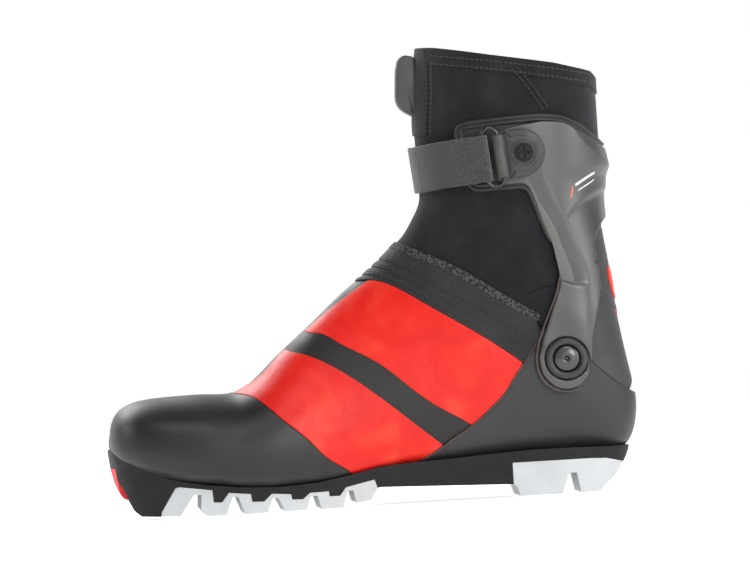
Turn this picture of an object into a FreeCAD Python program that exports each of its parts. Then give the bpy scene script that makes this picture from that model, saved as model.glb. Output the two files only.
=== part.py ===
"""Cross-country skating boot, right foot, EU size 42.

Millimetres. +Z is up, the toe points to -X, the medial (inner) side faces -Y.
The origin is on the ground below the middle of the boot.
"""
import FreeCAD, Part
import math
import os

V = FreeCAD.Vector

# ---------------------------------------------------------------- driving dimensions
SKIN = 1.0            # thickness of the outer panels
TEXTILE = 1.3         # thickness of the woven upper under the panels
PADDING = 3.4         # thickness of the foot lining
FIT = 0.1             # gap between layers that lie on each other
NEOPRENE = 3.0        # thickness of the collar
CUFF_INSIDE = 2.6     # the cuff shell starts this far outside the upper
CUFF_OUTSIDE = 5.4
TRIM_INSIDE = 1.0     # the rubber edge trim lies between this and the cuff shell
CUFF_SQUARE = 3.0     # the cuff's arms stand off the rounder heel, to clear it as they swing
CUFF_SQUARE_TOP = 82.0   # above this height the arms draw in to the shaft again
CUFF_DRAW_IN = 0.01      # loss of squareness for each millimetre above it
BOARD = 2.2           # thickness of the lasting board
FOOTBED = 3.7
TONGUE = 3.4
RAISED = 0.65         # bands that lie on the body stand this proud of it
REACH = 80.0          # cutting prisms reach this far to either side

PIVOT_X = 107.0       # axis of the cuff pivot
PIVOT_Z = 74.0
SPLIT_R = 41.0        # the shaft parts from the foot on this radius round the pivot
BUSH_R = 6.5
BUSH_CLEARANCE = 0.05
PIVOT_RING_R = 11.4
PIVOT_RING_BORE_R = 7.4
PIVOT_SHANK_R = 3.9
PIVOT_HEAD_R = 6.4
PIVOT_SOCKET_R = 1.4
PIVOT_NUT_R = 9.0

SCREW_X = 90.0        # axis of the two strap screws
SCREW_Z = 188.0
SCREW_R = 2.5
SCREW_HEAD_R = 3.7
WASHER_R = 5.4
STRAP_NUT_R = 6.1
STRAP_NUT_BARREL_R = 3.5
STRAP_TILT = 5.5      # degrees the strap rises towards the heel
STRAP_WIDTH = 25.4
WEBBING = 1.5
RING_WIRE_R = 1.4
RING_HALF = 12.0      # half length of the ring's two straight bars
ROLL_R = 3.5          # the tab's roll turns on the ring's rear bar
ROLL_HALF = 11.8
TAB_THICK = 2.4
TAB_HALF = 13.2       # half height of the tab's plate, and radius of its round end
TAB_MIDDLE_X = 88.5
TAB_GAP = {-1: 2.7, 1: 4.3}   # gap between the cuff and the tab, or the anchor on the far side
BOSS_R = 7.4
BOSS_HIGH = 0.8

TOE_BAR_R = 1.9
TOE_BAR_X = -130.5
TOE_BAR_Z = 6.4
GROOVE_INNER = 8.5    # the two guide grooves run between these distances from the sole's middle
GROOVE_OUTER = 14.5
SOLE_MIDDLE = -2.0
BINDING_SLOT_HALF = 13.0   # the binding's jaw enters this slot round the toe bar
BINDING_SLOT_TOP = 11.5

ZIP_START = (-47.0, 88.0)   # lower and upper end of the zip on the instep line
ZIP_END = (14.0, 137.4)
ZIP_Y = 17.0

# Cross-sections of the boot body, from the toe round the heel and up the shaft:
# sole or heel end (x, z), instep or shin end (x, z), medial and lateral half widths,
# sideways shift, where along the section it is widest, how square the two ends are
# (2 is an ellipse), and how much of an offset lies in the section's plane.
SECTIONS = [
    ((-144.6, 38.5), (-144.4, 46.0), 7, 7, -6, 0.45, 2.2, 2.2, 0.12),
    ((-143.4, 35.5), (-143.2, 52.5), 17, 16, -6, 0.45, 2.4, 2.2, 0.30),
    ((-140.3, 32.0), (-140.3, 58.2), 26, 24.5, -6, 0.42, 2.7, 2.3, 0.50),
    ((-134.0, 28.0), (-134.0, 62.6), 34.5, 33, -5.5, 0.40, 3.0, 2.4, 0.75),
    ((-124.0, 23.5), (-124.0, 65.0), 40.5, 39.5, -5, 0.38, 3.2, 2.4, 0.92),
    ((-108.0, 18.3), (-108.0, 65.8), 44.5, 45, -4, 0.37, 3.3, 2.3, 0.98),
    ((-90.0, 15.3), (-90.0, 65.8), 46.5, 48, -3, 0.37, 3.3, 2.2, 1.0),
    ((-74.0, 12.6), (-76.0, 66.0), 47, 49.5, -2, 0.36, 3.3, 2.1, 1.0),
    ((-58.0, 11.4), (-63.0, 73.6), 46, 49.5, -2, 0.34, 3.3, 2.0, 1.0),
    ((-42.0, 11.4), (-50.0, 85.5), 43.5, 48.5, -2, 0.33, 3.3, 1.95, 1.0),
    ((-24.0, 12.6), (-37.0, 96.4), 40, 46.5, -2, 0.32, 3.3, 1.95, 1.0),
    ((-4.0, 15.5), (-24.0, 107.5), 37.5, 43.5, -1.5, 0.32, 3.2, 1.95, 1.0),
    ((18.0, 18.5), (-11.0, 118.4), 36, 40.5, -1, 0.33, 3.1, 1.95, 1.0),
    ((44.0, 19.6), (1.5, 127.6), 35.5, 38.5, -0.5, 0.36, 3.0, 2.0, 1.0),
    ((70.0, 20.3), (11.5, 136.0), 35.5, 37.5, 0, 0.40, 2.9, 2.05, 1.0),
    ((98.0, 20.5), (18.5, 142.3), 36, 37, 0, 0.44, 2.8, 2.1, 1.0),
    ((123.0, 20.6), (23.5, 147.2), 36, 36.5, 0, 0.46, 2.6, 2.1, 1.0),
    ((138.6, 24.6), (27.0, 152.3), 36, 36.5, 0, 0.47, 2.5, 2.1, 1.0),
    ((144.8, 36.5), (30.0, 157.4), 36, 36.5, 0, 0.48, 2.4, 2.1, 1.0),
    ((146.0, 51.0), (32.4, 162.0), 36, 36.5, 0, 0.49, 2.35, 2.1, 1.0),
    ((144.0, 66.0), (33.9, 167.0), 36.5, 36.5, 0, 0.5, 2.3, 2.15, 1.0),
    ((141.2, 82.0), (34.2, 173.0), 36.5, 37, 0, 0.5, 2.3, 2.2, 1.0),
    ((138.8, 97.0), (34.0, 180.0), 37, 37, 0, 0.5, 2.25, 2.2, 1.0),
    ((137.0, 112.0), (33.7, 188.0), 37.5, 37.5, 0, 0.5, 2.25, 2.2, 1.0),
    ((134.9, 130.0), (33.5, 197.0), 38, 38, 0, 0.5, 2.2, 2.2, 1.0),
    ((132.8, 150.0), (33.3, 206.0), 38.5, 38.5, 0, 0.5, 2.2, 2.2, 1.0),
    ((134.2, 172.0), (34.0, 216.0), 39.5, 39.5, 0, 0.5, 2.2, 2.2, 1.0),
    ((135.2, 195.0), (35.3, 230.0), 40.5, 40.5, 0, 0.5, 2.2, 2.2, 1.0),
    ((135.0, 222.0), (37.3, 248.0), 41.5, 41.5, 0, 0.5, 2.2, 2.2, 1.0),
    ((135.0, 243.0), (39.5, 266.0), 42, 42, 0, 0.5, 2.2, 2.2, 1.0),
]
POINTS_ROUND = 20

# Side-view outlines, (x, z). Each is wider than the body where it only has to clear it.
FEATHER = [(-160, 44), (-146, 39.5), (-140, 34), (-133, 30), (-124.5, 25.5), (-115.5, 22),
           (-106.5, 19.5), (-93, 17), (-80.5, 15.5), (-76, 14.8), (-55, 13.7), (-34, 14.5),
           (-13, 18), (2, 21), (22, 22.3), (42, 23), (61.5, 24), (86, 25), (111, 24.8),
           (124.5, 24.3), (160, 23.8)]
BOARD_LINE = [(-160, 52), (-146, 45), (-134, 35.5), (-124, 30), (-108, 24.5), (-90, 21.5),
              (-74, 19), (-58, 17.8), (-42, 17.8), (-24, 19), (-4, 22), (18, 25), (44, 26),
              (98, 27), (122, 28), (160, 32)]
TREAD_TOP = [(-111.5, 16.4), (-109.5, 17), (-97.5, 15.2), (-91.5, 14.2), (-91, 7.5), (-86.5, 7.2),
             (-82.5, 12.2), (-70.5, 10.8), (-70, 6.5), (-63.5, 6.2), (-59, 10.2), (-48.5, 9.3),
             (-48, 6.3), (-42, 6.1), (-38, 9.3), (-27.5, 9.5), (-27.3, 6.7), (-21.5, 6.6),
             (-18, 11), (-2, 14.2), (-0.5, 9.5)]
TREAD_BOTTOM = [(-4.5, 3), (-12.5, 2), (-14, 9), (-17, 9), (-20, 0), (-32, 0), (-34, 7.4),
                (-37.5, 7.3), (-40.5, 0), (-52, 0), (-55.5, 7.6), (-58.5, 7.6), (-62, 0),
                (-74, 0), (-77.5, 9.6), (-80.5, 9.6), (-84.5, 0), (-95, 0.4), (-98, 4),
                (-97.5, 12), (-101.5, 12), (-109.5, 1), (-120, 1.4), (-119.5, 4)]
HEEL_TREAD = [(74.5, 18.5), (74.5, 6.2), (76, 5.8), (78, 0), (101, 0), (105.5, 11), (109.5, 11),
              (111.5, 0), (122, 0), (131, 8), (136.5, 15), (126, 17.8), (118, 18.3)]
SOLE_ARCH = [(1.5, 9.8), (21, 9), (74.4, 6.7), (74.4, 18.6), (118, 18.4), (126, 17.9),
             (136.6, 15.2), (138.8, 18.6), (141.2, 24.1)]
SOLE_TOE = [(-119.6, 4.1), (-120.2, 1.3), (-130.5, 2), (-133.5, 4.5), (-136.7, 11.3),
            (-140, 18), (-143.7, 24.6), (-147, 32.5), (-147, 37)]
TOE_CAP_EDGE = [(-75, 80), (-75, 66), (-68, 64.5), (-62.5, 61.5), (-52, 51.5), (-37, 38),
                (-26.5, 27), (-14, 18), (-10, 5)]
STRIPE_FRONT = [(-54, 96), (-47, 89), (-43.5, 87), (-36, 85),
                (-23.5, 79), (-5.5, 66.5), (12, 52), (28.5, 37.7), (37.5, 30), (46, 22)]
STRIPE_BACK = [(-42, 106), (-33.5, 97.2), (-26, 96), (-15.5, 89.5), (3, 78.5), (21, 63),
               (37.5, 50.5), (53.5, 40), (60, 30)]
BAND_LOW = [(-14, 122), (-1.5, 123.6), (9.5, 122), (24, 114), (40.5, 103), (63, 88.3), (84, 72.4)]
BAND_TOP = [(5, 146), (17, 141), (31, 134.5), (48, 125.8), (70, 111), (91.3, 97)]
COUNTER_FRONT = [(16, 18), (22.5, 22.3), (31, 26.7), (42.5, 34), (53.5, 40.5), (63, 48),
                 (72.5, 57), (80, 67.5), (84, 72.6), (89.5, 80.6), (94, 86.2), (97, 91)]
COUNTER_TOP = [(117, 86), (121, 72.7), (127, 66), (135.5, 59), (145, 53.3), (160, 48)]
SHAFT_FOOT_LINE = [(0, 178), (34, 167), (92, 113), (107, 100), (160, 100)]
COLLAR_TOP = [(160, 225), (135, 227), (131, 231), (109.5, 236.5), (74, 243), (44, 249),
              (37.5, 249.5), (20, 250)]
CUFF = [(60.5, 196), (62, 200), (65, 201.5), (80, 203), (101, 205), (111, 204), (121, 197.8),
        (134, 188.5), (150, 184), (150, 149), (133, 150.5), (128, 145), (126.5, 136), (129, 123.5),
        (129.8, 113), (128.5, 103), (124.3, 86), (122.5, 74), (119, 63.5), (113, 58.5),
        (106.5, 57), (99.5, 59), (93.5, 65.5), (91.8, 75), (94.5, 84.5), (100.5, 100),
        (105.8, 114.5), (106.2, 120), (103, 137.5), (98.3, 151), (94, 165), (91.5, 170.5),
        (87.5, 172), (63.5, 170.8), (60.8, 174)]
TRIM = [(53.5, 200), (54.6, 205), (59.5, 207.2), (80.5, 208.6), (99.5, 209.4), (112, 208),
        (122.7, 202.6), (136, 190.8), (150, 187.5), (150, 153), (134, 153.5), (122, 140),
        (112, 136), (101.5, 137.5), (96.4, 151), (91.8, 165), (89.5, 168.3), (63.5, 168), (58.5, 172)]
PULL_TAB = [(36.6, 245.5), (30, 246.5), (26.5, 244.5), (25, 238), (23.9, 222.5), (24.7, 218.5),
            (27.2, 215.2), (34.2, 211), (35.4, 220)]
PIPING_WIDTH = 2.2
INSERT_FACE = [(-145.6, 28.8), (-144.9, 25.2), (-143.8, 20.7), (-142.2, 16.9), (-140.5, 13.6),
               (-139.2, 12.0), (-137.0, 11.0)]
INSERT_BACK = [(-133.4, 11.0), (-136.5, 18.4), (-140.4, 25.4), (-142.4, 28.8)]

# Outline of the sole seen from above at its upper rim: x, medial y, lateral y.
SOLE_PLAN = [(-147.4, -7, -5), (-144.5, -19, 7), (-137, -31, 20), (-122, -39, 31), (-100, -42.5, 39),
             (-75, -43.5, 43.5), (-50, -41.5, 44.8), (-25, -37.5, 43.5), (0, -34, 40), (30, -32, 36.5),
             (60, -31.5, 34), (90, -32, 33.5), (115, -31, 31.5), (129, -25.5, 26), (138, -15, 15),
             (142.3, -2, 2)]


# ---------------------------------------------------------------- helpers
def section_points(row, grow, for_cuff):
    """Points round one cross-section of the body, grown outwards by grow."""
    (ax, az), (bx, bz), medial, lateral, shift, wide, low, high, in_plane = row
    if for_cuff:
        drawn_in = CUFF_DRAW_IN * max(0.0, az - CUFF_SQUARE_TOP)
        low = max(low, CUFF_SQUARE - drawn_in)
    length = math.hypot(bx - ax, bz - az)
    ux = (bx - ax) / length
    uz = (bz - az) / length
    swell = grow * in_plane
    nose = -grow * math.sqrt(1.0 - in_plane * in_plane)
    middle = wide * length
    points = []
    for i in range(POINTS_ROUND):
        angle = 2.0 * math.pi * i / POINTS_ROUND
        c = math.cos(angle)
        s = math.sin(angle)
        square = low if c > 0 else high
        reach = middle + swell if c > 0 else length - middle + swell
        half = medial if s > 0 else lateral
        along = middle - math.copysign(reach * abs(c) ** (2.0 / square), c)
        across = shift - math.copysign((half + swell) * abs(s) ** (2.0 / square), s)
        points.append(V(ax + ux * along + nose, across, az + uz * along))
    return points


BODIES = {}


def spline_poles(points, parameters, closed):
    curve = Part.BSplineCurve()
    curve.interpolate(Points=points, PeriodicFlag=closed, Parameters=parameters)
    return curve


def body(grow, for_cuff=False):
    """Solid of the whole boot body, offset by grow; it runs on above the collar."""
    if (grow, for_cuff) in BODIES:
        return BODIES[grow, for_cuff]
    round_knots = [float(i) for i in range(POINTS_ROUND + 1)]
    rings = [spline_poles(section_points(row, grow, for_cuff), round_knots, True)
             for row in SECTIONS]
    grid = [ring.getPoles() for ring in rings]
    along_knots = [0.0]
    for row, following in zip(SECTIONS, SECTIONS[1:]):
        step = math.hypot(following[0][0] - row[0][0], following[0][1] - row[0][1])
        step += math.hypot(following[1][0] - row[1][0], following[1][1] - row[1][1])
        along_knots.append(along_knots[-1] + 0.5 * step)
    runs = [spline_poles([poles[i] for poles in grid], along_knots, False)
            for i in range(len(grid[0]))]
    surface = Part.BSplineSurface()
    surface.buildFromPolesMultsKnots(
        [run.getPoles() for run in runs], rings[0].getMultiplicities(), runs[0].getMultiplicities(),
        rings[0].getKnots(), runs[0].getKnots(), True, False, 3, 3)
    wall = surface.toShape()
    caps = [Part.Face(Part.Wire(surface.vIso(v).toShape())) for v in (along_knots[0], along_knots[-1])]
    shell = Part.makeShell([wall] + caps)
    shell.sewShape()
    solid = Part.makeSolid(shell)
    if solid.Volume < 0:
        solid.reverse()
    BODIES[grow, for_cuff] = solid
    return solid


def layer(outside, inside, for_cuff=False):
    """Closed skin between two offsets of the body."""
    return body(outside, for_cuff).cut(body(inside, for_cuff))


def prism(outline, y_low=-REACH, y_high=REACH):
    """Side-view outline pushed through the boot from side to side."""
    points = [V(x, y_low, z) for x, z in outline]
    face = Part.Face(Part.makePolygon(points + points[:1]))
    return face.extrude(V(0, y_high - y_low, 0))


def cylinder_y(x, z, radius, y_low, y_high):
    return Part.makeCylinder(radius, y_high - y_low, V(x, y_low, z), V(0, 1, 0))


def box(x0, x1, y0, y1, z0, z1):
    return Part.makeBox(x1 - x0, y1 - y0, z1 - z0, V(x0, y0, z0))


def side_solids(shape, side):
    """The solids of a shape that lie on one side: -1 medial, +1 lateral."""
    kept = [s for s in shape.Solids if s.CenterOfMass.y * side > 4]
    return Part.makeCompound(kept)


def biggest(shape):
    return max(shape.Solids, key=lambda s: s.Volume)


def save(name, shape):
    solids = shape.Solids
    if len(solids) == 1:
        shape = solids[0]
    else:
        shape = Part.makeCompound(solids)
    shape.exportStep("parts/" + name + ".step")
    print("%-22s solids %2d volume %9.1f valid %s" % (name, len(solids), shape.Volume, shape.isValid()))


os.makedirs("parts", exist_ok=True)

# ---------------------------------------------------------------- zones shared by several layers
above_feather = prism(FEATHER + [(160, 300), (-160, 300)])
above_board = prism(BOARD_LINE + [(160, 300), (-160, 300)])
below_board = prism([(x, z - 0.3) for x, z in BOARD_LINE] + [(160, -20), (-160, -20)])
split_inner = cylinder_y(PIVOT_X, PIVOT_Z, SPLIT_R - 0.5, -REACH, REACH)
split_outer = cylinder_y(PIVOT_X, PIVOT_Z, SPLIT_R + 0.5, -REACH, REACH)
foot_zone = prism([(-160, -20), (-160, 146)] + BAND_TOP
                  + [(107, 90), (107, 60), (160, 60), (160, -20)]).fuse(split_inner)
shaft_zone = prism(SHAFT_FOOT_LINE + COLLAR_TOP + [(0, 250)]).cut(split_outer)
gaiter_zone = prism([(x, z + 0.5) for x, z in BAND_TOP] + [(100, 105), (92, 112.4), (34, 166.4),
                    (0, 177.4)]).cut(split_outer)
cover_zone = box(-80, 40, -13, 11, 40, 170).common(
    prism([(-78, 52), (-60, 55), (25, 125), (34, 150), (10, 160), (-78, 90)]))

# Holes for the pivot bolts through everything that stays on the foot.
pivot_hole = cylinder_y(PIVOT_X, PIVOT_Z, BUSH_R + FIT, -REACH, REACH)

# ---------------------------------------------------------------- outer panels of the foot
skin = layer(0.0, -SKIN).common(above_feather)

toe_cap = layer(0.5, -SKIN).common(above_feather).common(
    prism([(-160, -20), (-160, 80)] + TOE_CAP_EDGE + [(-10, -20)]))
save("toe_cap", biggest(toe_cap))

open_skin = skin.cut(cover_zone)


def offset_x(outline, dx):
    return [(x + dx, z) for x, z in outline]


front_red = open_skin.common(prism(offset_x(TOE_CAP_EDGE, 0.3) + [(40, 5), (70, 5)]
                                   + list(reversed(STRIPE_FRONT))))
stripe = open_skin.common(prism(offset_x(STRIPE_FRONT, 0.3) + [(60, 15), (80, 15)]
                                + list(reversed(STRIPE_BACK))))
counter_zone = prism(COUNTER_FRONT + COUNTER_TOP + [(160, 0), (16, 0)])
front_red = front_red.cut(counter_zone)
stripe = stripe.cut(counter_zone)
rear_red = open_skin.common(prism(offset_x(STRIPE_BACK, 0.3) + [(90, 40), (90, 72)]
                                  + list(reversed(BAND_LOW)) + [(-36, 122)]))
rear_red = rear_red.cut(counter_zone)
band = open_skin.common(prism([(x, z + 0.3) for x, z in BAND_LOW] + [(100, 85)]
                              + list(reversed(BAND_TOP)) + [(-14, 146)]))
band = band.cut(counter_zone)
for name, shape in (("front_panel", front_red), ("stripe", stripe), ("rear_panel", rear_red),
                    ("flex_band", band)):
    for side, word in ((-1, "medial"), (1, "lateral")):
        save(name + "_" + word, biggest(side_solids(shape, side)))

instep_cover = skin.common(cover_zone).common(foot_zone).cut(
    prism([(-160, -20), (-160, 80)] + offset_x(TOE_CAP_EDGE, 0.3) + [(-10, -20)]))
save("instep_cover", biggest(instep_cover))

# ---------------------------------------------------------------- heel counter and rear quarter
counter = layer(0.6, -SKIN).common(above_feather).common(counter_zone).cut(pivot_hole)
piping_zone = counter_zone.cut(prism(offset_x(COUNTER_FRONT, PIPING_WIDTH)
                                     + [(x, z - PIPING_WIDTH) for x, z in COUNTER_TOP]
                                     + [(160, 0), (18, 0)]))
counter_piping = layer(2 * RAISED, RAISED).common(above_feather).common(piping_zone).cut(pivot_hole)
save("heel_counter", biggest(counter))
save("counter_piping", counter_piping)

quarter_zone = prism([(97.3, 91.3), (107, 60), (160, 40), (160, 150), (60, 150), (60, 118.3)]
                     + [(x, z + 0.3) for x, z in BAND_TOP[4:]])
rear_quarter = skin.common(split_inner).common(quarter_zone).cut(counter_zone).cut(pivot_hole)
save("rear_quarter", rear_quarter)

# ---------------------------------------------------------------- textile upper, lining, inner sole
textile_upper = layer(-SKIN - FIT, -SKIN - FIT - TEXTILE).common(foot_zone).cut(pivot_hole)
save("textile_upper", textile_upper)
pad_out = -SKIN - TEXTILE - 2 * FIT
pad_in = pad_out - PADDING
nut_pocket = cylinder_y(PIVOT_X, PIVOT_Z, PIVOT_NUT_R + 0.3, -REACH, REACH)
foot_lining = layer(pad_out, pad_in).common(foot_zone).common(above_board).cut(nut_pocket)
save("foot_lining", foot_lining)
board_in = pad_out - BOARD
lasting_board = layer(pad_out, board_in).common(below_board)
save("lasting_board", lasting_board)
footbed = layer(board_in - FIT, board_in - FIT - FOOTBED).common(below_board)
save("footbed", footbed)
tongue_zone = prism([(-58, 50), (-40, 62), (30, 120), (40, 150), (0, 160), (-62, 95)], -27, 26)
tongue = layer(pad_in - FIT, pad_in - FIT - TONGUE).common(foot_zone).common(tongue_zone)
save("tongue", tongue)

# ---------------------------------------------------------------- gaiter and collar
gaiter = layer(0.0, -2.0).common(gaiter_zone)
save("gaiter", gaiter)
gaiter_lining = layer(-2.1, pad_in).common(gaiter_zone)
save("gaiter_lining", gaiter_lining)
collar = layer(0.0, -NEOPRENE).common(shaft_zone)
save("collar", collar)
collar_lining = layer(-NEOPRENE - FIT, pad_in).common(shaft_zone)
save("collar_lining", collar_lining)

placket_zone = prism([(15, 202.5), (39.3, 201), (40.6, 220), (42.2, 245), (43, 262), (15, 262)])
placket = layer(RAISED, 0.05).common(shaft_zone).common(placket_zone)
save("placket", placket)
hem_zone = prism(COLLAR_TOP + [(0, 250), (0, 238)] + [(x, z - 9) for x, z in reversed(COLLAR_TOP)])
collar_hem = layer(RAISED, 0.05).common(hem_zone).cut(placket_zone)
save("collar_hem", collar_hem)
achilles_zone = prism([(116, 98), (118, 120), (119, 142), (123, 148), (150, 148), (150, 90)])
achilles_panel = layer(0.75, 0.05).common(achilles_zone).cut(split_outer)
save("achilles_panel", achilles_panel)
flash_zone = prism([(134, 123), (134.3, 114), (136.3, 106), (138.4, 104.5), (160, 106), (160, 123)])
heel_flash = layer(1.35, 0.8).common(flash_zone).cut(split_outer)
save("heel_flash", heel_flash)
pull_tab = prism(PULL_TAB, -8.5, 8.5).cut(body(RAISED + 0.05))
save("pull_tab", biggest(pull_tab))

# ---------------------------------------------------------------- sole
def plan_wire(z, nose, tail, narrow):
    """Plan outline of the sole at height z, drawn in at the toe, the heel and the sides."""
    points = [(x, m) for x, m, l in SOLE_PLAN] + [(x, l) for x, m, l in reversed(SOLE_PLAN)]
    first = SOLE_PLAN[0][0]
    last = SOLE_PLAN[-1][0]
    placed = []
    for x, y in points:
        share = (x - first) / (last - first)
        placed.append(V(x + nose * (1 - share) - tail * share, y * narrow, z))
    curve = Part.BSplineCurve()
    curve.interpolate(Points=placed, PeriodicFlag=True)
    return Part.Wire(curve.toShape())


sole_block = Part.makeLoft([plan_wire(-1, 5, 2, 0.88), plan_wire(45, 0, 0, 1.0)], True, True)
sole_outline = FEATHER[1:-1] + list(reversed(SOLE_ARCH))
sole_outline += list(reversed(TREAD_TOP)) + SOLE_TOE
cup = body(-SKIN)
slot_low = SOLE_MIDDLE - BINDING_SLOT_HALF
slot_high = SOLE_MIDDLE + BINDING_SLOT_HALF
toe_slot = box(-150, -122, slot_low, slot_high, -5, BINDING_SLOT_TOP)
toe_bar_hole = cylinder_y(TOE_BAR_X, TOE_BAR_Z, TOE_BAR_R, slot_low - 4, slot_high + 4)
insert_zone = prism(INSERT_FACE + INSERT_BACK, SOLE_MIDDLE - 15, SOLE_MIDDLE + 11)
sole = sole_block.common(prism(sole_outline)).cut(cup)
toe_insert = sole_block.common(insert_zone).cut(cup).cut(toe_slot)
save("toe_insert", toe_insert)
outsole = sole.cut(insert_zone).cut(toe_slot).cut(toe_bar_hole)
save("outsole_frame", biggest(outsole))
save("toe_bar", toe_bar_hole)

strips = {
    "medial": (-80, SOLE_MIDDLE - GROOVE_OUTER),
    "centre": (SOLE_MIDDLE - GROOVE_INNER, SOLE_MIDDLE + GROOVE_INNER),
    "lateral": (SOLE_MIDDLE + GROOVE_OUTER, 80),
}
forefoot = sole_block.common(prism(TREAD_TOP + TREAD_BOTTOM)).cut(cup)
heel = sole_block.common(prism(HEEL_TREAD)).cut(cup)
for word, (y0, y1) in strips.items():
    slab = box(-160, 160, y0, y1, -5, 60)
    save("forefoot_tread_" + word, forefoot.common(slab))
    save("heel_tread_" + word, heel.common(slab))


# ---------------------------------------------------------------- cuff
def wall_y(x, z, side, for_cuff=False):
    """How far out the body's wall is at a side-view point."""
    line = Part.makeLine(V(x, 0, z), V(x, side * 90, z))
    return line.common(body(0.0, for_cuff)).Length


def tube_y(x, z, outer, inner, side, y_low, y_high):
    """Tube or disc about a sideways axis, on one side of the boot."""
    y0 = min(side * y_low, side * y_high)
    y1 = max(side * y_low, side * y_high)
    shape = cylinder_y(x, z, outer, y0, y1)
    if inner:
        shape = shape.cut(cylinder_y(x, z, inner, y0 - 1, y1 + 1))
    return shape


cuff = layer(CUFF_OUTSIDE, CUFF_INSIDE, True).common(prism(CUFF))
trim = layer(CUFF_INSIDE - FIT, TRIM_INSIDE, True).common(prism(TRIM))
rings = []
bushes = []
bolts = []
nuts = []
for side in (-1, 1):
    wall = wall_y(PIVOT_X, PIVOT_Z, side)
    cuff_wall = wall_y(PIVOT_X, PIVOT_Z, side, True)
    face = cuff_wall + CUFF_OUTSIDE
    cuff = cuff.cut(tube_y(PIVOT_X, PIVOT_Z, BUSH_R + BUSH_CLEARANCE, 0, side, wall, face + 5))
    cuff = cuff.cut(tube_y(PIVOT_X, PIVOT_Z, PIVOT_RING_R + 0.1, 0, side, face - 0.6, face + 5))
    rings.append(tube_y(PIVOT_X, PIVOT_Z, PIVOT_RING_R, PIVOT_RING_BORE_R, side,
                        face - 0.5, face + 1.9))
    bushes.append(tube_y(PIVOT_X, PIVOT_Z, BUSH_R, PIVOT_SHANK_R + FIT, side, wall - 5.0, face + 0.6))
    head = tube_y(PIVOT_X, PIVOT_Z, PIVOT_HEAD_R, 0, side, face + 0.65, face + 2.1)
    shank = tube_y(PIVOT_X, PIVOT_Z, PIVOT_SHANK_R, 0, side, wall - 6.8, face + 0.7)
    socket = tube_y(PIVOT_X, PIVOT_Z, PIVOT_SOCKET_R, 0, side, face - 0.4, face + 3)
    bolts.append(head.fuse(shank).cut(socket))
    nuts.append(tube_y(PIVOT_X, PIVOT_Z, PIVOT_NUT_R, PIVOT_SHANK_R + 0.05, side,
                       wall - 6.6, wall - 5.05))

washers = []
screws = []
strap_nuts = []
tab_face = {}
for side in (-1, 1):
    wall = wall_y(SCREW_X, SCREW_Z, side, True)
    out = wall + CUFF_OUTSIDE
    cuff = cuff.cut(tube_y(SCREW_X, SCREW_Z, STRAP_NUT_R + 0.3, 0, side, wall, wall + CUFF_INSIDE - FIT))
    cuff = cuff.cut(tube_y(SCREW_X, SCREW_Z, STRAP_NUT_BARREL_R + FIT, 0, side, wall, out + 5))
    trim = trim.cut(tube_y(SCREW_X, SCREW_Z, STRAP_NUT_R + 0.2, 0, side, wall, out + 5))
    tab_face[side] = out + TAB_GAP[side]
    top = tab_face[side] + TAB_THICK + BOSS_HIGH
    washers.append(tube_y(SCREW_X, SCREW_Z, WASHER_R, SCREW_R + FIT, side, top + 0.05, top + 0.65))
    head = tube_y(SCREW_X, SCREW_Z, SCREW_HEAD_R, 0, side, top + 0.7, top + 2.2)
    shank = tube_y(SCREW_X, SCREW_Z, SCREW_R, 0, side, wall + 1.1, top + 0.75)
    cross = box(-3.2, 3.2, -1, 1, -0.5, 0.5).fuse(box(-0.5, 0.5, -1, 1, -3.2, 3.2))
    cross.translate(V(SCREW_X, side * (top + 2.2), SCREW_Z))
    screws.append(head.fuse(shank).cut(cross))
    flange = tube_y(SCREW_X, SCREW_Z, STRAP_NUT_R, SCREW_R + BUSH_CLEARANCE, side,
                    wall + 1.2, wall + CUFF_INSIDE - 0.2)
    barrel = tube_y(SCREW_X, SCREW_Z, STRAP_NUT_BARREL_R, SCREW_R + BUSH_CLEARANCE, side,
                    wall + 1.2, out)
    strap_nuts.append(flange.fuse(barrel))

save("cuff_shell", cuff)
save("cuff_trim", trim)
save("pivot_rings", Part.makeCompound(rings))
save("pivot_bushes", Part.makeCompound(bushes))
save("pivot_bolts", Part.makeCompound(bolts))
save("pivot_nuts", Part.makeCompound(nuts))
save("strap_washers", Part.makeCompound(washers))
save("strap_screws", Part.makeCompound(screws))
save("strap_nuts", Part.makeCompound(strap_nuts))

# ---------------------------------------------------------------- strap, ring and tabs
RING_FRONT = 68.5
RING_REAR = 77.0
RING_Y = -(tab_face[-1] + TAB_THICK / 2)
SHAFT_MIDDLE = 84.0
INNER_LONG = 52.3     # half length of the ellipses that the webbing's two layers follow
OUTER_LONG = 54.1
LOOP_IN = 2.3
LOOP_OUT = LOOP_IN + WEBBING
STRAP_END = 34.0      # the outer layer of webbing ends here, at the front of the shaft
half = STRAP_WIDTH / 2.0


def strap_frame(shape):
    shape.rotate(V(SCREW_X, 0, SCREW_Z), V(0, 1, 0), -STRAP_TILT)
    return shape


def ribbon(long_half, wide_half):
    """Webbing round the front of the shaft, from its inner ellipse outwards."""
    bands = []
    for extra in (WEBBING, 0.0):
        ellipse = Part.Ellipse(V(SHAFT_MIDDLE, 0, SCREW_Z - half), long_half + extra, wide_half + extra)
        bands.append(Part.Face(Part.Wire(ellipse.toShape())).extrude(V(0, 0, STRAP_WIDTH)))
    return bands[0].cut(bands[1])


def wide_half_at_ring(long_half, y):
    return y / math.sqrt(1.0 - ((SHAFT_MIDDLE - RING_FRONT) / long_half) ** 2)


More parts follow.
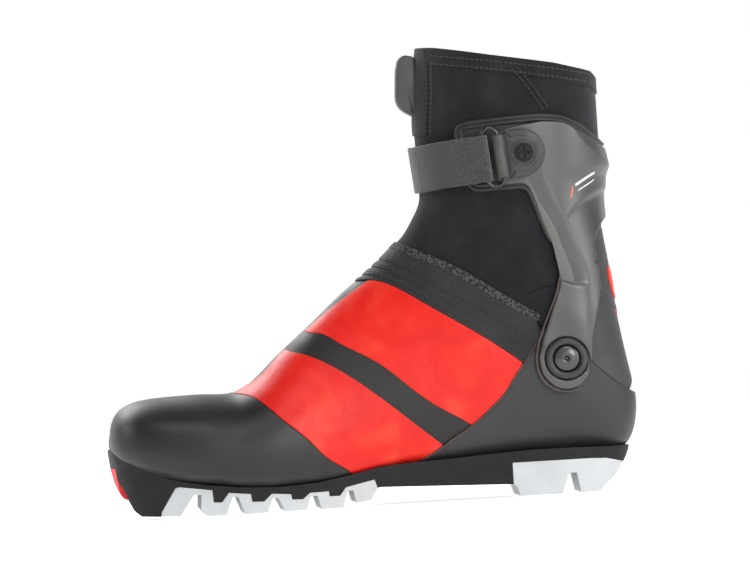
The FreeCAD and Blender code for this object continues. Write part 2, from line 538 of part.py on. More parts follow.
loop_y = -RING_Y
inner_ribbon = ribbon(INNER_LONG, wide_half_at_ring(INNER_LONG, loop_y - LOOP_OUT))
outer_ribbon = ribbon(OUTER_LONG, wide_half_at_ring(OUTER_LONG, loop_y + LOOP_IN))
z0 = SCREW_Z - half - 1
z1 = SCREW_Z + half + 1
inner_ribbon = inner_ribbon.common(box(0, RING_FRONT, -70, 0, z0, z1).fuse(box(0, 98, 0, 70, z0, z1)))
outer_ribbon = outer_ribbon.common(box(STRAP_END, RING_FRONT, -70, 0, z0, z1))
loop = Part.makeCylinder(LOOP_OUT, STRAP_WIDTH, V(RING_FRONT, RING_Y, SCREW_Z - half))
loop = loop.cut(Part.makeCylinder(LOOP_IN, STRAP_WIDTH, V(RING_FRONT, RING_Y, SCREW_Z - half)))
loop = loop.common(box(RING_FRONT, 90, -70, 0, z0, z1))
strap = inner_ribbon.fuse([outer_ribbon, loop])
strap = strap.cut(tube_y(SCREW_X, SCREW_Z, SCREW_R + BUSH_CLEARANCE, 0, 1, 20, 80))
save("strap_webbing", strap_frame(strap))

bars = []
for x in (RING_FRONT, RING_REAR):
    bars.append(Part.makeCylinder(RING_WIRE_R, 2 * RING_HALF, V(x, RING_Y, SCREW_Z - RING_HALF)))
middle = 0.5 * (RING_FRONT + RING_REAR)
bend = 0.5 * (RING_REAR - RING_FRONT)
for up in (-1, 1):
    bend_z = SCREW_Z + up * RING_HALF
    torus = Part.makeTorus(bend, RING_WIRE_R, V(middle, RING_Y, bend_z), V(0, 1, 0))
    low = min(bend_z, bend_z + up * 18)
    high = max(bend_z, bend_z + up * 18)
    bars.append(torus.common(box(50, 100, -70, 0, low, high)))
ring = bars[0].fuse(bars[1:])
save("strap_ring", strap_frame(ring))



def round_ended_plate(front, side, inner):
    """Plate with a round rear end and a raised boss under its screw."""
    outer = inner + TAB_THICK
    y0 = min(side * inner, side * outer)
    y1 = max(side * inner, side * outer)
    shape = box(front, TAB_MIDDLE_X, y0, y1, SCREW_Z - TAB_HALF, SCREW_Z + TAB_HALF)
    rear = cylinder_y(TAB_MIDDLE_X, SCREW_Z, TAB_HALF, y0, y1)
    shape = shape.fuse(rear.common(box(TAB_MIDDLE_X - 0.1, 120, -REACH, REACH, 0, 300)))
    boss = tube_y(SCREW_X, SCREW_Z, BOSS_R, 0, side, outer - 0.1, outer + BOSS_HIGH)
    return shape.fuse(boss)


plate = round_ended_plate(RING_REAR, -1, tab_face[-1])
roll = Part.makeCylinder(ROLL_R, 2 * ROLL_HALF, V(RING_REAR, RING_Y, SCREW_Z - ROLL_HALF))
notch_end = RING_REAR + ROLL_R - 0.1
plate = plate.cut(box(RING_REAR - 1, notch_end, -REACH, 0, SCREW_Z - 20, SCREW_Z - ROLL_HALF))
plate = plate.cut(box(RING_REAR - 1, notch_end, -REACH, 0, SCREW_Z + ROLL_HALF, SCREW_Z + 20))
tab = plate.fuse(roll)
tab = tab.cut(Part.makeCylinder(RING_WIRE_R + BUSH_CLEARANCE, 40, V(RING_REAR, RING_Y, SCREW_Z - 20)))
tab = tab.cut(tube_y(SCREW_X, SCREW_Z, SCREW_R + BUSH_CLEARANCE, 0, -1, 20, 80))
save("strap_tab", strap_frame(tab))

anchor = round_ended_plate(RING_REAR - 1, 1, tab_face[1])
anchor = anchor.cut(tube_y(SCREW_X, SCREW_Z, SCREW_R + BUSH_CLEARANCE, 0, 1, 20, 80))
save("strap_anchor", strap_frame(anchor))


# ---------------------------------------------------------------- zip on the lateral side
def top_point(x, y):
    """Point of the instep surface above (x, y)."""
    line = Part.makeLine(V(x, y, 50), V(x, y, 220))
    inside = line.common(body(0.0))
    return max((vertex.Point for vertex in inside.Vertexes), key=lambda p: p.z)


upper_end = top_point(ZIP_END[0], ZIP_Y)
lower_end = top_point(ZIP_START[0], ZIP_Y)
down = (lower_end - upper_end).normalize()
sideways = top_point(ZIP_END[0] - 15, ZIP_Y + 4) - top_point(ZIP_END[0] - 15, ZIP_Y - 4)
sideways = (sideways - down * sideways.dot(down)).normalize()
normal = sideways.cross(down).normalize()
if normal.z < 0:
    normal = normal * -1
bulge = 0.0
for step in range(1, 20):
    x = ZIP_END[0] + (ZIP_START[0] - ZIP_END[0]) * step / 20.0
    for dy in (-4, 0, 4):
        bulge = max(bulge, (top_point(x, ZIP_Y + dy) - upper_end).dot(normal))


def zip_block(along, half_long, half_wide, low, high):
    """Block on the zip line: along is measured down from its upper end."""
    block = Part.makeBox(2 * half_long, 2 * half_wide, high - low, V(-half_long, -half_wide, low))
    across = normal.cross(down)
    place = upper_end + down * along
    block.transformShape(FreeCAD.Matrix(down.x, across.x, normal.x, place.x,
                                        down.y, across.y, normal.y, place.y,
                                        down.z, across.z, normal.z, place.z, 0, 0, 0, 1))
    return block


zip_length = (lower_end - upper_end).Length
tape = layer(RAISED + 0.1, 0.05).common(foot_zone).common(zip_block(zip_length / 2, zip_length / 2 + 3, 7, -8, 9))
save("zip_tape", tape)
lift = bulge + 0.9
slider = zip_block(6, 5, 3.6, lift, lift + 2.6).fuse(zip_block(6, 2.6, 1.0, lift + 2.5, lift + 4.4))
slider = slider.cut(zip_block(6, 1.5, 3, lift + 2.6, lift + 3.6))
save("zip_slider", slider)
puller = zip_block(16, 10, 2.6, lift + 2.75, lift + 3.45).cut(zip_block(9.5, 4.5, 1.4, lift, lift + 6))
puller_axis = normal.cross(down)
puller_pin = upper_end + down * 6 + normal * (lift + 3.1)
puller = puller.fuse(Part.makeCylinder(0.45, 5.2, puller_pin - puller_axis * 2.6, puller_axis))
save("zip_puller", puller)
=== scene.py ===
"""Looks of a cross-country skating boot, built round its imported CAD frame.

Lengths in the tables are millimetres in the frame's axes: the toe points to -X, the medial side
faces -Y and +Z is up. Meshes are written in metres.
"""

import math

import bmesh
import bpy
import numpy as np
from mathutils import Matrix, Vector
from mathutils.bvhtree import BVHTree


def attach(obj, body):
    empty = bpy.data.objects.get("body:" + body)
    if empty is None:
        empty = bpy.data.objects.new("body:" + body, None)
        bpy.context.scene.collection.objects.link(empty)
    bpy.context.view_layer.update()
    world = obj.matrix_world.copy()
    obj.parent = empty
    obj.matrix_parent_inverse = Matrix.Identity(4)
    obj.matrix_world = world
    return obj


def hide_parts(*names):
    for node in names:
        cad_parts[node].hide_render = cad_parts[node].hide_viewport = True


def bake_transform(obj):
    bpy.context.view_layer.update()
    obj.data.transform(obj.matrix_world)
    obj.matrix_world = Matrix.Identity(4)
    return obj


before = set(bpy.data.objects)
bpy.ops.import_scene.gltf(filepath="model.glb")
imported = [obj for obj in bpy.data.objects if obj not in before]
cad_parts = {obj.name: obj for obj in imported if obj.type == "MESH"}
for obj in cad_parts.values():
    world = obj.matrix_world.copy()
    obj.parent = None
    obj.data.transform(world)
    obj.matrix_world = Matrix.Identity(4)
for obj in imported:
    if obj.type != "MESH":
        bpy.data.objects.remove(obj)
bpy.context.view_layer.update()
MM = 0.001

# ---------------------------------------------------------------- the boot's body
# Sole or heel end (x, z), instep or shin end (x, z), medial and lateral half widths, sideways
# shift, where along the section it is widest, how square its two ends are.
SECTIONS = [
    ((-144.6, 38.5), (-144.4, 46.0), 7, 7, -6, 0.45, 2.2, 2.2),
    ((-143.4, 35.5), (-143.2, 52.5), 17, 16, -6, 0.45, 2.4, 2.2),
    ((-140.3, 32.0), (-140.3, 58.2), 26, 24.5, -6, 0.42, 2.7, 2.3),
    ((-134.0, 28.0), (-134.0, 62.6), 34.5, 33, -5.5, 0.40, 3.0, 2.4),
    ((-124.0, 23.5), (-124.0, 65.0), 40.5, 39.5, -5, 0.38, 3.2, 2.4),
    ((-108.0, 18.3), (-108.0, 65.8), 44.5, 45, -4, 0.37, 3.3, 2.3),
    ((-90.0, 15.3), (-90.0, 65.8), 46.5, 48, -3, 0.37, 3.3, 2.2),
    ((-74.0, 12.6), (-76.0, 66.0), 47, 49.5, -2, 0.36, 3.3, 2.1),
    ((-58.0, 11.4), (-63.0, 73.6), 46, 49.5, -2, 0.34, 3.3, 2.0),
    ((-42.0, 11.4), (-50.0, 85.5), 43.5, 48.5, -2, 0.33, 3.3, 1.95),
    ((-24.0, 12.6), (-37.0, 96.4), 40, 46.5, -2, 0.32, 3.3, 1.95),
    ((-4.0, 15.5), (-24.0, 107.5), 37.5, 43.5, -1.5, 0.32, 3.2, 1.95),
    ((18.0, 18.5), (-11.0, 118.4), 36, 40.5, -1, 0.33, 3.1, 1.95),
    ((44.0, 19.6), (1.5, 127.6), 35.5, 38.5, -0.5, 0.36, 3.0, 2.0),
    ((70.0, 20.3), (11.5, 136.0), 35.5, 37.5, 0, 0.40, 2.9, 2.05),
    ((98.0, 20.5), (18.5, 142.3), 36, 37, 0, 0.44, 2.8, 2.1),
    ((123.0, 20.6), (23.5, 147.2), 36, 36.5, 0, 0.46, 2.6, 2.1),
    ((138.6, 24.6), (27.0, 152.3), 36, 36.5, 0, 0.47, 2.5, 2.1),
    ((144.8, 36.5), (30.0, 157.4), 36, 36.5, 0, 0.48, 2.4, 2.1),
    ((146.0, 51.0), (32.4, 162.0), 36, 36.5, 0, 0.49, 2.35, 2.1),
    ((144.0, 66.0), (33.9, 167.0), 36.5, 36.5, 0, 0.5, 2.3, 2.15),
    ((141.2, 82.0), (34.2, 173.0), 36.5, 37, 0, 0.5, 2.3, 2.2),
    ((138.8, 97.0), (34.0, 180.0), 37, 37, 0, 0.5, 2.25, 2.2),
    ((137.0, 112.0), (33.7, 188.0), 37.5, 37.5, 0, 0.5, 2.25, 2.2),
    ((134.9, 130.0), (33.5, 197.0), 38, 38, 0, 0.5, 2.2, 2.2),
    ((132.8, 150.0), (33.3, 206.0), 38.5, 38.5, 0, 0.5, 2.2, 2.2),
    ((134.2, 172.0), (34.0, 216.0), 39.5, 39.5, 0, 0.5, 2.2, 2.2),
    ((135.2, 195.0), (35.3, 230.0), 40.5, 40.5, 0, 0.5, 2.2, 2.2),
    ((135.0, 222.0), (37.3, 248.0), 41.5, 41.5, 0, 0.5, 2.2, 2.2),
    ((135.0, 243.0), (39.5, 266.0), 42, 42, 0, 0.5, 2.2, 2.2),
]
POINTS_ROUND = 20
COLUMNS = 264
ROWS = 430
CUFF_SQUARE, CUFF_SQUARE_TOP, CUFF_DRAW_IN = 3.0, 82.0, 0.01   # the cuff stands off the heel
TIP_RINGS = ((0.03, 0.5), (0.3, 0.45), (0.55, 0.36), (0.78, 0.2))   # size, bulge in mm


def section_ring(row, for_cuff):
    (ax, az), (bx, bz), medial, lateral, shift, wide, low, high = row
    if for_cuff:
        low = max(low, CUFF_SQUARE - CUFF_DRAW_IN * max(0.0, az - CUFF_SQUARE_TOP))
    length = math.hypot(bx - ax, bz - az)
    ux, uz = (bx - ax) / length, (bz - az) / length
    angle = 2 * np.pi * np.arange(POINTS_ROUND) / POINTS_ROUND
    c, s = np.cos(angle), np.sin(angle)
    square = np.where(c > 0, low, high)
    reach = np.where(c > 0, wide * length, (1 - wide) * length)
    half = np.where(s > 0, medial, lateral)
    along = wide * length - np.sign(c) * reach * np.abs(c) ** (2 / square)
    across = shift - np.sign(s) * half * np.abs(s) ** (2 / square)
    return np.stack([ax + ux * along, across, az + uz * along], 1)


def spline(knots, values, at, closed=False):
    """Cubic spline through values at knots, read at the points in at."""
    knots = np.asarray(knots, float)
    values = np.asarray(values, float)
    n = len(values)
    h = np.diff(knots)
    system = np.zeros((n, n))
    right = np.zeros(values.shape)
    for i in range(n):
        if not closed and i in (0, n - 1):
            system[i, i] = 1
            continue
        before, after = h[i - 1], h[i]
        j = (i + 1) % n
        system[i, i - 1] += before
        system[i, i] += 2 * (before + after)
        system[i, j] += after
        right[i] = 6 * ((values[j] - values[i]) / after - (values[i] - values[i - 1]) / before)
    bend = np.linalg.solve(system, right.reshape(n, -1)).reshape(values.shape)
    at = np.asarray(at, float)
    i = np.clip(np.searchsorted(knots, at, "right") - 1, 0, len(h) - 1)
    j = (i + 1) % n
    shape = (len(at),) + (1,) * (values.ndim - 1)
    step = h[i].reshape(shape)
    b = (at - knots[i]).reshape(shape) / step
    a = 1 - b
    return (a * values[i] + b * values[j]
            + ((a ** 3 - a) * bend[i] + (b ** 3 - b) * bend[j]) * step ** 2 / 6)


def unit(v):
    return v / np.maximum(np.linalg.norm(v, axis=-1, keepdims=True), 1e-9)


def body_grid(for_cuff=False):
    """Points, outward normals and cloth coordinates (mm) on a regular grid over the body."""
    rings = np.array([section_ring(row, for_cuff) for row in SECTIONS])
    at = np.arange(COLUMNS) * POINTS_ROUND / COLUMNS
    rings = spline(np.arange(POINTS_ROUND + 1), rings.transpose(1, 0, 2), at, True).transpose(1, 0, 2)
    ends = np.array([row[0] + row[1] for row in SECTIONS])
    steps = np.diff(ends, axis=0)
    steps = 0.5 * (np.hypot(steps[:, 0], steps[:, 1]) + np.hypot(steps[:, 2], steps[:, 3]))
    knots = np.concatenate([[0], np.cumsum(steps)])
    points = spline(knots, rings, np.linspace(0, knots[-1], ROWS))
    tip = []
    centre = points[0].mean(0)
    for size, bulge in TIP_RINGS:
        ring = centre + (points[0] - centre) * size
        ring[:, 0] -= bulge
        tip.append(ring)
    points = np.concatenate([np.array(tip), points])
    along = np.gradient(points, axis=0)
    around = np.roll(points, -1, 1) - np.roll(points, 1, 1)
    normals = unit(np.cross(around, along))
    outwards = points - points.mean(1, keepdims=True)
    if (normals * outwards).sum() < 0:
        normals = -normals
    crest = COLUMNS // 2
    seg = np.linalg.norm(np.diff(points, axis=1), axis=2)
    cloth_u = np.concatenate([np.zeros((len(points), 1)), np.cumsum(seg, 1)], 1)
    cloth_u -= cloth_u[:, crest:crest + 1]
    seam = np.linalg.norm(np.diff(points[:, crest // 2], axis=0), axis=1)
    cloth_v = np.concatenate([[0], np.cumsum(seam)])
    cloth = np.stack([cloth_u, np.repeat(cloth_v[:, None], COLUMNS, 1)], 2)
    return points, normals, cloth


FOOT = body_grid()
CUFF_BASE = body_grid(True)
GRID_ROWS = len(FOOT[0])


# ---------------------------------------------------------------- outlines and fields
def smooth(points, parts=8):
    """Open curve through the points, as short straight steps."""
    points = np.asarray(points, float)
    gaps = np.sqrt(np.linalg.norm(np.diff(points, axis=0), axis=1))
    knots = np.concatenate([[0], np.cumsum(gaps)])
    return spline(knots, points, np.linspace(0, knots[-1], parts * (len(points) - 1) + 1))


def line_distance(points, line):
    """Distance in the side view from points (n, 3) to an open line."""
    line = np.asarray(line, float)
    p = points[:, [0, 2]]
    best = np.full(len(p), 1e9)
    for a, b in zip(line, line[1:]):
        d = b - a
        t = np.clip(((p - a) @ d) / max(d @ d, 1e-9), 0, 1)
        best = np.minimum(best, np.linalg.norm(p - a - t[:, None] * d, axis=1))
    return best


def inside_polygon(points, outline):
    x, z = points[:, 0], points[:, 2]
    odd = np.zeros(len(points), bool)
    for (x0, z0), (x1, z1) in zip(outline, np.roll(outline, -1, 0)):
        crosses = (z0 > z) != (z1 > z)
        with np.errstate(divide="ignore", invalid="ignore"):
            cut = x0 + (z - z0) * (x1 - x0) / (z1 - z0)
        odd ^= crosses & (x < cut)
    return odd


def region(outline):
    """Field that is positive inside a side-view outline: its distance from the edge."""
    outline = np.asarray(outline, float)
    closed = np.concatenate([outline, outline[:1]])

    def field(points):
        distance = line_distance(points, closed)
        return np.where(inside_polygon(points, outline), distance, -distance)
    return field


def above(line):
    """Field that is positive above a line that runs from the toe to the heel."""
    line = [tuple(p) for p in line]
    return region(line + [(300, line[-1][1]), (300, 400), (-300, 400), (-300, line[0][1])])


def both(*fields):
    return lambda p: np.min([f(p) for f in fields], axis=0)


def without(field, *holes):
    return lambda p: np.min([field(p)] + [-h(p) for h in holes], axis=0)


def disc(x, z, radius):
    return lambda p: radius - np.hypot(p[:, 0] - x, p[:, 2] - z)


# ---------------------------------------------------------------- meshes
def linked(name, data):
    obj = bpy.data.objects.new(name, data)
    bpy.context.scene.collection.objects.link(obj)
    return obj


def face_outwards(mesh, weld=0.0):
    """Turns the faces outwards, after joining corners closer than weld, in metres."""
    work = bmesh.new()
    work.from_mesh(mesh)
    if weld:
        bmesh.ops.remove_doubles(work, verts=work.verts, dist=weld)
    bmesh.ops.recalc_face_normals(work, faces=work.faces)
    work.to_mesh(mesh)
    work.free()


def ring_faces(rings, sides, closed=False):
    """Quads between successive rings of sides points each."""
    faces = []
    for i in range(rings if closed else rings - 1):
        j = (i + 1) % rings
        for k in range(sides):
            m = (k + 1) % sides
            faces.append([i * sides + k, i * sides + m, j * sides + m, j * sides + k])
    return faces


def end_faces(rings, sides):
    return [list(range(sides)), list(range((rings - 1) * sides, rings * sides))]


def new_object(name, verts, faces, cloth=None):
    mesh = bpy.data.meshes.new(name)
    mesh.from_pydata([tuple(v) for v in np.asarray(verts, float) * MM], [], faces)
    mesh.validate()
    mesh.update()
    if cloth is not None:
        layer = mesh.uv_layers.new(name="cloth")
        index = np.empty(len(mesh.loops), int)
        mesh.loops.foreach_get("vertex_index", index)
        layer.data.foreach_set("uv", (np.asarray(cloth)[index] * MM).ravel().astype(np.float32))
    mesh.polygons.foreach_set("use_smooth", np.ones(len(mesh.polygons), bool))
    return linked(name, mesh)


def cut_cell(cell, depth, level, made, store):
    """Splits one polygon at field == level; returns the part above and the part below."""
    over, under = [], []
    for a, b in zip(cell, cell[1:] + cell[:1]):
        da, db = depth[a], depth[b]
        (over if da >= level else under).append(a)
        if (da >= level) != (db >= level):
            key = (min(a, b), max(a, b), level)
            if key not in made:
                made[key] = store(a, b, (level - da) / (db - da), level)
            over.append(made[key])
            under.append(made[key])
    return over, under


def patch(name, field, top, bottom, edge=0.8, levels=(0.0, 0.12, 0.4, 1.0), round_to=None, sharp=(),
          surface=FOOT, cloth_from=None):
    """Closed piece cut out of the body's surface where field > 0.

    top and bottom are offsets from the body in mm, or functions of points and depth. The rim is
    rounded over edge mm. sharp holds extra depths at which the mesh gets a loop of its own.
    """
    grid, grid_normals, grid_cloth = surface
    flat = grid.reshape(-1, 3)
    depth = list(field(flat))
    grid_depth = np.array(depth).reshape(GRID_ROWS, COLUMNS)
    wrap = np.roll(grid_depth, -1, 1)
    corners = np.stack([grid_depth[:-1], wrap[:-1], wrap[1:], grid_depth[1:]])
    cuts = sorted(set([edge * s for s in levels] + list(sharp)))
    low, high = corners.min(0), corners.max(0)
    ids = np.arange(GRID_ROWS * COLUMNS).reshape(GRID_ROWS, COLUMNS)
    next_ids = np.roll(ids, -1, 1)
    quads = np.stack([ids[:-1], next_ids[:-1], next_ids[1:], ids[1:]], 2)
    polygons = quads[low >= cuts[-1]].tolist()
    points, normals = list(flat), list(grid_normals.reshape(-1, 3))
    cloth = list(grid_cloth.reshape(-1, 2))
    made = {}

    def store(a, b, t, level):
        points.append(points[a] * (1 - t) + points[b] * t)
        normals.append(normals[a] * (1 - t) + normals[b] * t)
        cloth.append(cloth[a] * (1 - t) + cloth[b] * t)
        depth.append(level)
        return len(points) - 1

    for cell in quads[(low < cuts[-1]) & (high > 0)].tolist():
        kept, rest = [], cell
        for level in cuts:
            rest, under = cut_cell(rest, depth, level, made, store)
            if level > 0 and len(under) > 2:
                kept.append(under)
            if len(rest) < 3:
                rest = []
                break
        if rest:
            kept.append(rest)
        polygons.extend(kept)
    used = sorted({v for polygon in polygons for v in polygon})
    renumber = {v: i for i, v in enumerate(used)}
    polygons = [[renumber[v] for v in polygon] for polygon in polygons]
    points = np.array([points[v] for v in used])
    normals = unit(np.array([normals[v] for v in used]))
    cloth = cloth_from(points) if cloth_from else np.array([cloth[v] for v in used])
    depth = np.array([depth[v] for v in used])
    high_at = top(points, depth) if callable(top) else np.full(len(points), float(top))
    low_at = bottom(points, depth) if callable(bottom) else np.full(len(points), float(bottom))
    fall = edge if round_to is None else round_to
    fall = np.minimum(fall, 0.9 * (high_at - low_at))
    inward = np.clip(1 - depth / edge, 0, 1)
    high_at = high_at - fall * (1 - np.sqrt(1 - inward ** 2))
    count = len(points)
    verts = np.concatenate([points + normals * high_at[:, None], points + normals * low_at[:, None]])
    sides = {}
    for polygon in polygons:
        for a, b in zip(polygon, polygon[1:] + polygon[:1]):
            sides[(a, b)] = sides.get((a, b), 0) + 1
    rim = [(a, b) for (a, b) in sides if (b, a) not in sides]
    faces = polygons + [[v + count for v in reversed(polygon)] for polygon in polygons]
    faces += [[b, a, a + count, b + count] for a, b in rim]
    obj = new_object(name, verts, faces, np.concatenate([cloth, cloth]))
    face_outwards(obj.data)
    return obj


def waves(points, size, seed):
    """Soft unevenness, about -1 to 1, with bumps about size mm across."""
    random = np.random.default_rng(seed)
    total = np.zeros(len(points))
    for _ in range(7):
        way = unit(random.normal(size=3))
        pitch = size * random.uniform(1.4, 3.0)
        total += np.sin(points @ way * 2 * np.pi / pitch + random.uniform(0, 6.28))
    return total / 3.0


# ---------------------------------------------------------------- side-view outlines
FEATHER = [(-160, 44), (-146, 39.5), (-140, 34), (-133, 30), (-124.5, 25.5), (-115.5, 22),
           (-106.5, 19.5), (-93, 17), (-80.5, 15.5), (-76, 14.8), (-55, 13.7), (-34, 14.5),
           (-13, 18), (2, 21), (22, 22.3), (42, 23), (61.5, 24), (86, 25), (111, 24.8),
           (124.5, 24.3), (160, 23.8)]
TOE_CAP_EDGE = smooth([(-75, 66), (-68, 64.5), (-62.5, 61.5), (-52, 51.5), (-37, 38),
                       (-26.5, 27), (-14, 18), (-10, 5)])
STRIPE_FRONT = smooth([(-54, 96), (-47, 89), (-43.5, 87), (-36, 85),
                       (-23.5, 79), (-5.5, 66.5), (12, 52), (28.5, 37.7), (37.5, 30), (46, 22)])
STRIPE_BACK = smooth([(-42, 106), (-33.5, 97.2), (-26, 96), (-15.5, 89.5), (3, 78.5), (21, 63),
                      (37.5, 50.5), (53.5, 40), (60, 30)])
BAND_LOW = smooth([(-14, 122), (-1.5, 123.6), (9.5, 122), (24, 114), (40.5, 103), (63, 88.3),
                   (84, 72.4)])
BAND_TOP = smooth([(5, 146), (17, 141), (31, 134.5), (48, 125.8), (70, 111), (91.3, 97)])
COUNTER_FRONT = smooth([(16, 18), (22.5, 22.3), (31, 26.7), (42.5, 34), (53.5, 40.5), (63, 48),
                        (72.5, 57), (80, 67.5), (84, 72.6), (89.5, 80.6), (94, 86.2), (97, 91)])
COUNTER_TOP = smooth([(117, 86), (121, 72.7), (127, 66), (135.5, 59), (145, 53.3), (160, 48)])
COLLAR_TOP = [(160, 225), (135, 227), (131, 231), (109.5, 236.5), (74, 243), (44, 249),
              (37.5, 249.5), (20, 250)]
CUFF = [(76.0, 196), (77, 200), (80, 201.5), (86, 203), (101, 205), (111, 204), (121, 197.8),
        (134, 188.5), (150, 184), (150, 149), (133, 150.5), (128, 145), (123.8, 136), (125.6, 123.5),
        (126.2, 113), (124.6, 103), (121.0, 86), (120.4, 74), (118, 63.5), (113, 58.5),
        (106.5, 57), (99.5, 59), (93.5, 65.5), (91.8, 75), (94.5, 84.5), (100.5, 100),
        (105.8, 114.5), (106.2, 120), (103, 137.5), (98.3, 151), (94, 165), (91.5, 170.5),
        (87.5, 172), (79, 171.4), (76, 174)]
TRIM = [(53.5, 200), (54.6, 205), (59.5, 207.2), (80.5, 208.6), (99.5, 209.4), (112, 208),
        (122.7, 202.6), (136, 190.8), (150, 187.5), (150, 153), (134, 153.5), (122, 140),
        (112, 136), (101.5, 137.5), (96.4, 151), (91.8, 165), (89.5, 168.3), (63.5, 168), (58.5, 172)]
PIVOT = (107.0, 74.0)
SCREW = (90.0, 188.0)
SHAFT_SPLIT = 40.75    # the sock keeps this far from the pivot


def rounded(outline, turn=1.6, parts=5):
    """The closed outline with its corners rounded off."""
    outline = np.asarray(outline, float)
    result = []
    for before, here, after in zip(np.roll(outline, 1, 0), outline, np.roll(outline, -1, 0)):
        a, b = before - here, after - here
        la, lb = np.linalg.norm(a), np.linalg.norm(b)
        cut = min(turn, 0.45 * la, 0.45 * lb)
        a, b = here + a / la * cut, here + b / lb * cut
        for t in np.linspace(0, 1, parts):
            result.append((1 - t) ** 2 * a + 2 * t * (1 - t) * here + t ** 2 * b)
    return np.array(result)


def along_line(points, line):
    """For each point, how far along a side-view line it lies and how far to its left, in mm."""
    line = np.asarray(line, float)
    p = points[:, [0, 2]]
    best = np.full(len(p), 1e9)
    run, off = np.zeros(len(p)), np.zeros(len(p))
    start = 0.0
    for a, b in zip(line, line[1:]):
        d = b - a
        length = np.linalg.norm(d)
        t = np.clip(((p - a) @ d) / length ** 2, 0, 1)
        gap = p - a - t[:, None] * d
        distance = np.linalg.norm(gap, axis=1)
        nearer = distance < best
        best = np.where(nearer, distance, best)
        run = np.where(nearer, start + t * length, run)
        side = np.sign(d[0] * gap[:, 1] - d[1] * gap[:, 0])
        off = np.where(nearer, side * distance, off)
        start += length
    return run, off


def search_tree(surface):
    return BVHTree.FromPolygons(
        [Vector(p) for p in surface[0].reshape(-1, 3)],
        [[r * COLUMNS + c, r * COLUMNS + (c + 1) % COLUMNS, (r + 1) * COLUMNS + (c + 1) % COLUMNS,
          (r + 1) * COLUMNS + c] for r in range(GRID_ROWS - 1) for c in range(COLUMNS)])


FOOT_TREE = search_tree(FOOT)
CUFF_TREE = search_tree(CUFF_BASE)


def on_body(x, z, side, lift=0.0, tree=FOOT_TREE):
    """Point and normal on the body's wall at a side-view place; side is -1 medial, 1 lateral."""
    hit, normal, _, _ = tree.ray_cast(Vector((x, side * 90.0, z)), Vector((0, -side, 0)))
    if hit is None:
        return None
    normal = Vector(normal)
    if normal.y * side < 0:
        normal = -normal
    return np.array(hit + normal * lift), np.array(normal)


def tube(name, path, radius, sides=10, closed=False, flat=1.0, normals=None):
    """Round cord of mesh along a path; radius may be one number for each point."""
    path = np.asarray(path, float)
    count = len(path)
    radius = np.broadcast_to(np.asarray(radius, float), (count,))
    if closed:
        tangent = unit(np.roll(path, -1, 0) - np.roll(path, 1, 0))
    else:
        tangent = unit(np.gradient(path, axis=0))
    if normals is None:
        up = np.array([0.31, 0.17, 0.93])
        side = unit(np.cross(tangent, up))
        for i in range(1, count):
            s = side[i - 1] - tangent[i] * (side[i - 1] @ tangent[i])
            side[i] = s / np.linalg.norm(s)
    else:
        side = unit(np.cross(tangent, normals))
    lift = np.cross(side, tangent)
    verts = []
    for i in range(count):
        for k in range(sides):
            a = 2 * math.pi * k / sides
            verts.append(path[i] + radius[i] * (math.cos(a) * side[i] + flat * math.sin(a) * lift[i]))
    faces = ring_faces(count, sides, closed)
    if not closed:
        faces.append([k for k in reversed(range(sides))])
        faces.append([(count - 1) * sides + k for k in range(sides)])
    return new_object(name, verts, faces)


def cord_on_body(name, lines, lift, radius, tree=FOOT_TREE):
    """Round cord laid along side-view lines on both walls of the body."""
    cords = []
    for line in lines:
        for side in (-1, 1):
            found = [on_body(x, z, side, lift, tree) for x, z in line]
            path = np.array([f[0] for f in found if f is not None])
            if len(path) > 3:
                cords.append(tube("cord", path, radius, 10))
    return join(name, cords)


def join(name, objects):
    """One object out of several meshes."""
    verts, faces = [], []
    for obj in objects:
        start = len(verts)
        verts += [np.array(v.co) / MM for v in obj.data.vertices]
        faces += [[start + i for i in f.vertices] for f in obj.data.polygons]
        bpy.data.objects.remove(obj)
    return new_object(name, verts, faces)


def stitching(name, lines, lift=0.25, pitch=3.0, length=2.1, radius=0.32):
    """Rows of short thread stitches lying on the body; lines holds (outline, side)."""
    beads = []
    for line, side in lines:
        line = np.asarray(line, float)
        steps = np.concatenate([[0], np.cumsum(np.linalg.norm(np.diff(line, axis=0), axis=1))])
        for start in np.arange(0.4, steps[-1] - length, pitch):
            path, normals = [], []
            for share in (0.0, 0.12, 0.5, 0.88, 1.0):
                at = start + share * length
                x, z = np.interp(at, steps, line[:, 0]), np.interp(at, steps, line[:, 1])
                found = on_body(x, z, side, lift - (0.35 if share in (0.0, 1.0) else 0.0))
                if found is None:
                    break
                path.append(found[0])
                normals.append(found[1])
            if len(path) == 5:
                beads.append(tube("bead", path, radius * np.array([0.5, 0.9, 1, 0.9, 0.5]), 6,
                                  normals=np.array(normals)))
    return join(name, beads)


def inset(outline, by):
    """The closed outline drawn in by a distance; it runs counterclockwise."""
    run = unit(np.roll(outline, -1, 0) - np.roll(outline, 1, 0))
    return outline + by * np.stack([-run[:, 1], run[:, 0]], 1)


def stacked(name, outline, levels, place):
    """Closed solid through insets of an outline at rising heights; place(a, b, height) sets it."""
    outline = np.asarray(outline, float)
    a, b = outline[:, 0], outline[:, 1]
    if (a * np.roll(b, -1) - b * np.roll(a, -1)).sum() < 0:
        outline = outline[::-1]
    count = len(outline)
    verts = []
    for by, height in levels:
        verts += [place(u, v, height) for u, v in inset(outline, by)]
    faces = ring_faces(len(levels), count)
    for start, way in ((0, -1), ((len(levels) - 1) * count, 1)):
        verts.append(np.mean(verts[start:start + count], axis=0))
        for i in range(count):
            faces.append([start + i, start + (i + 1) % count, len(verts) - 1][::way])
    return new_object(name, verts, faces, [(v[0], v[2]) for v in verts])


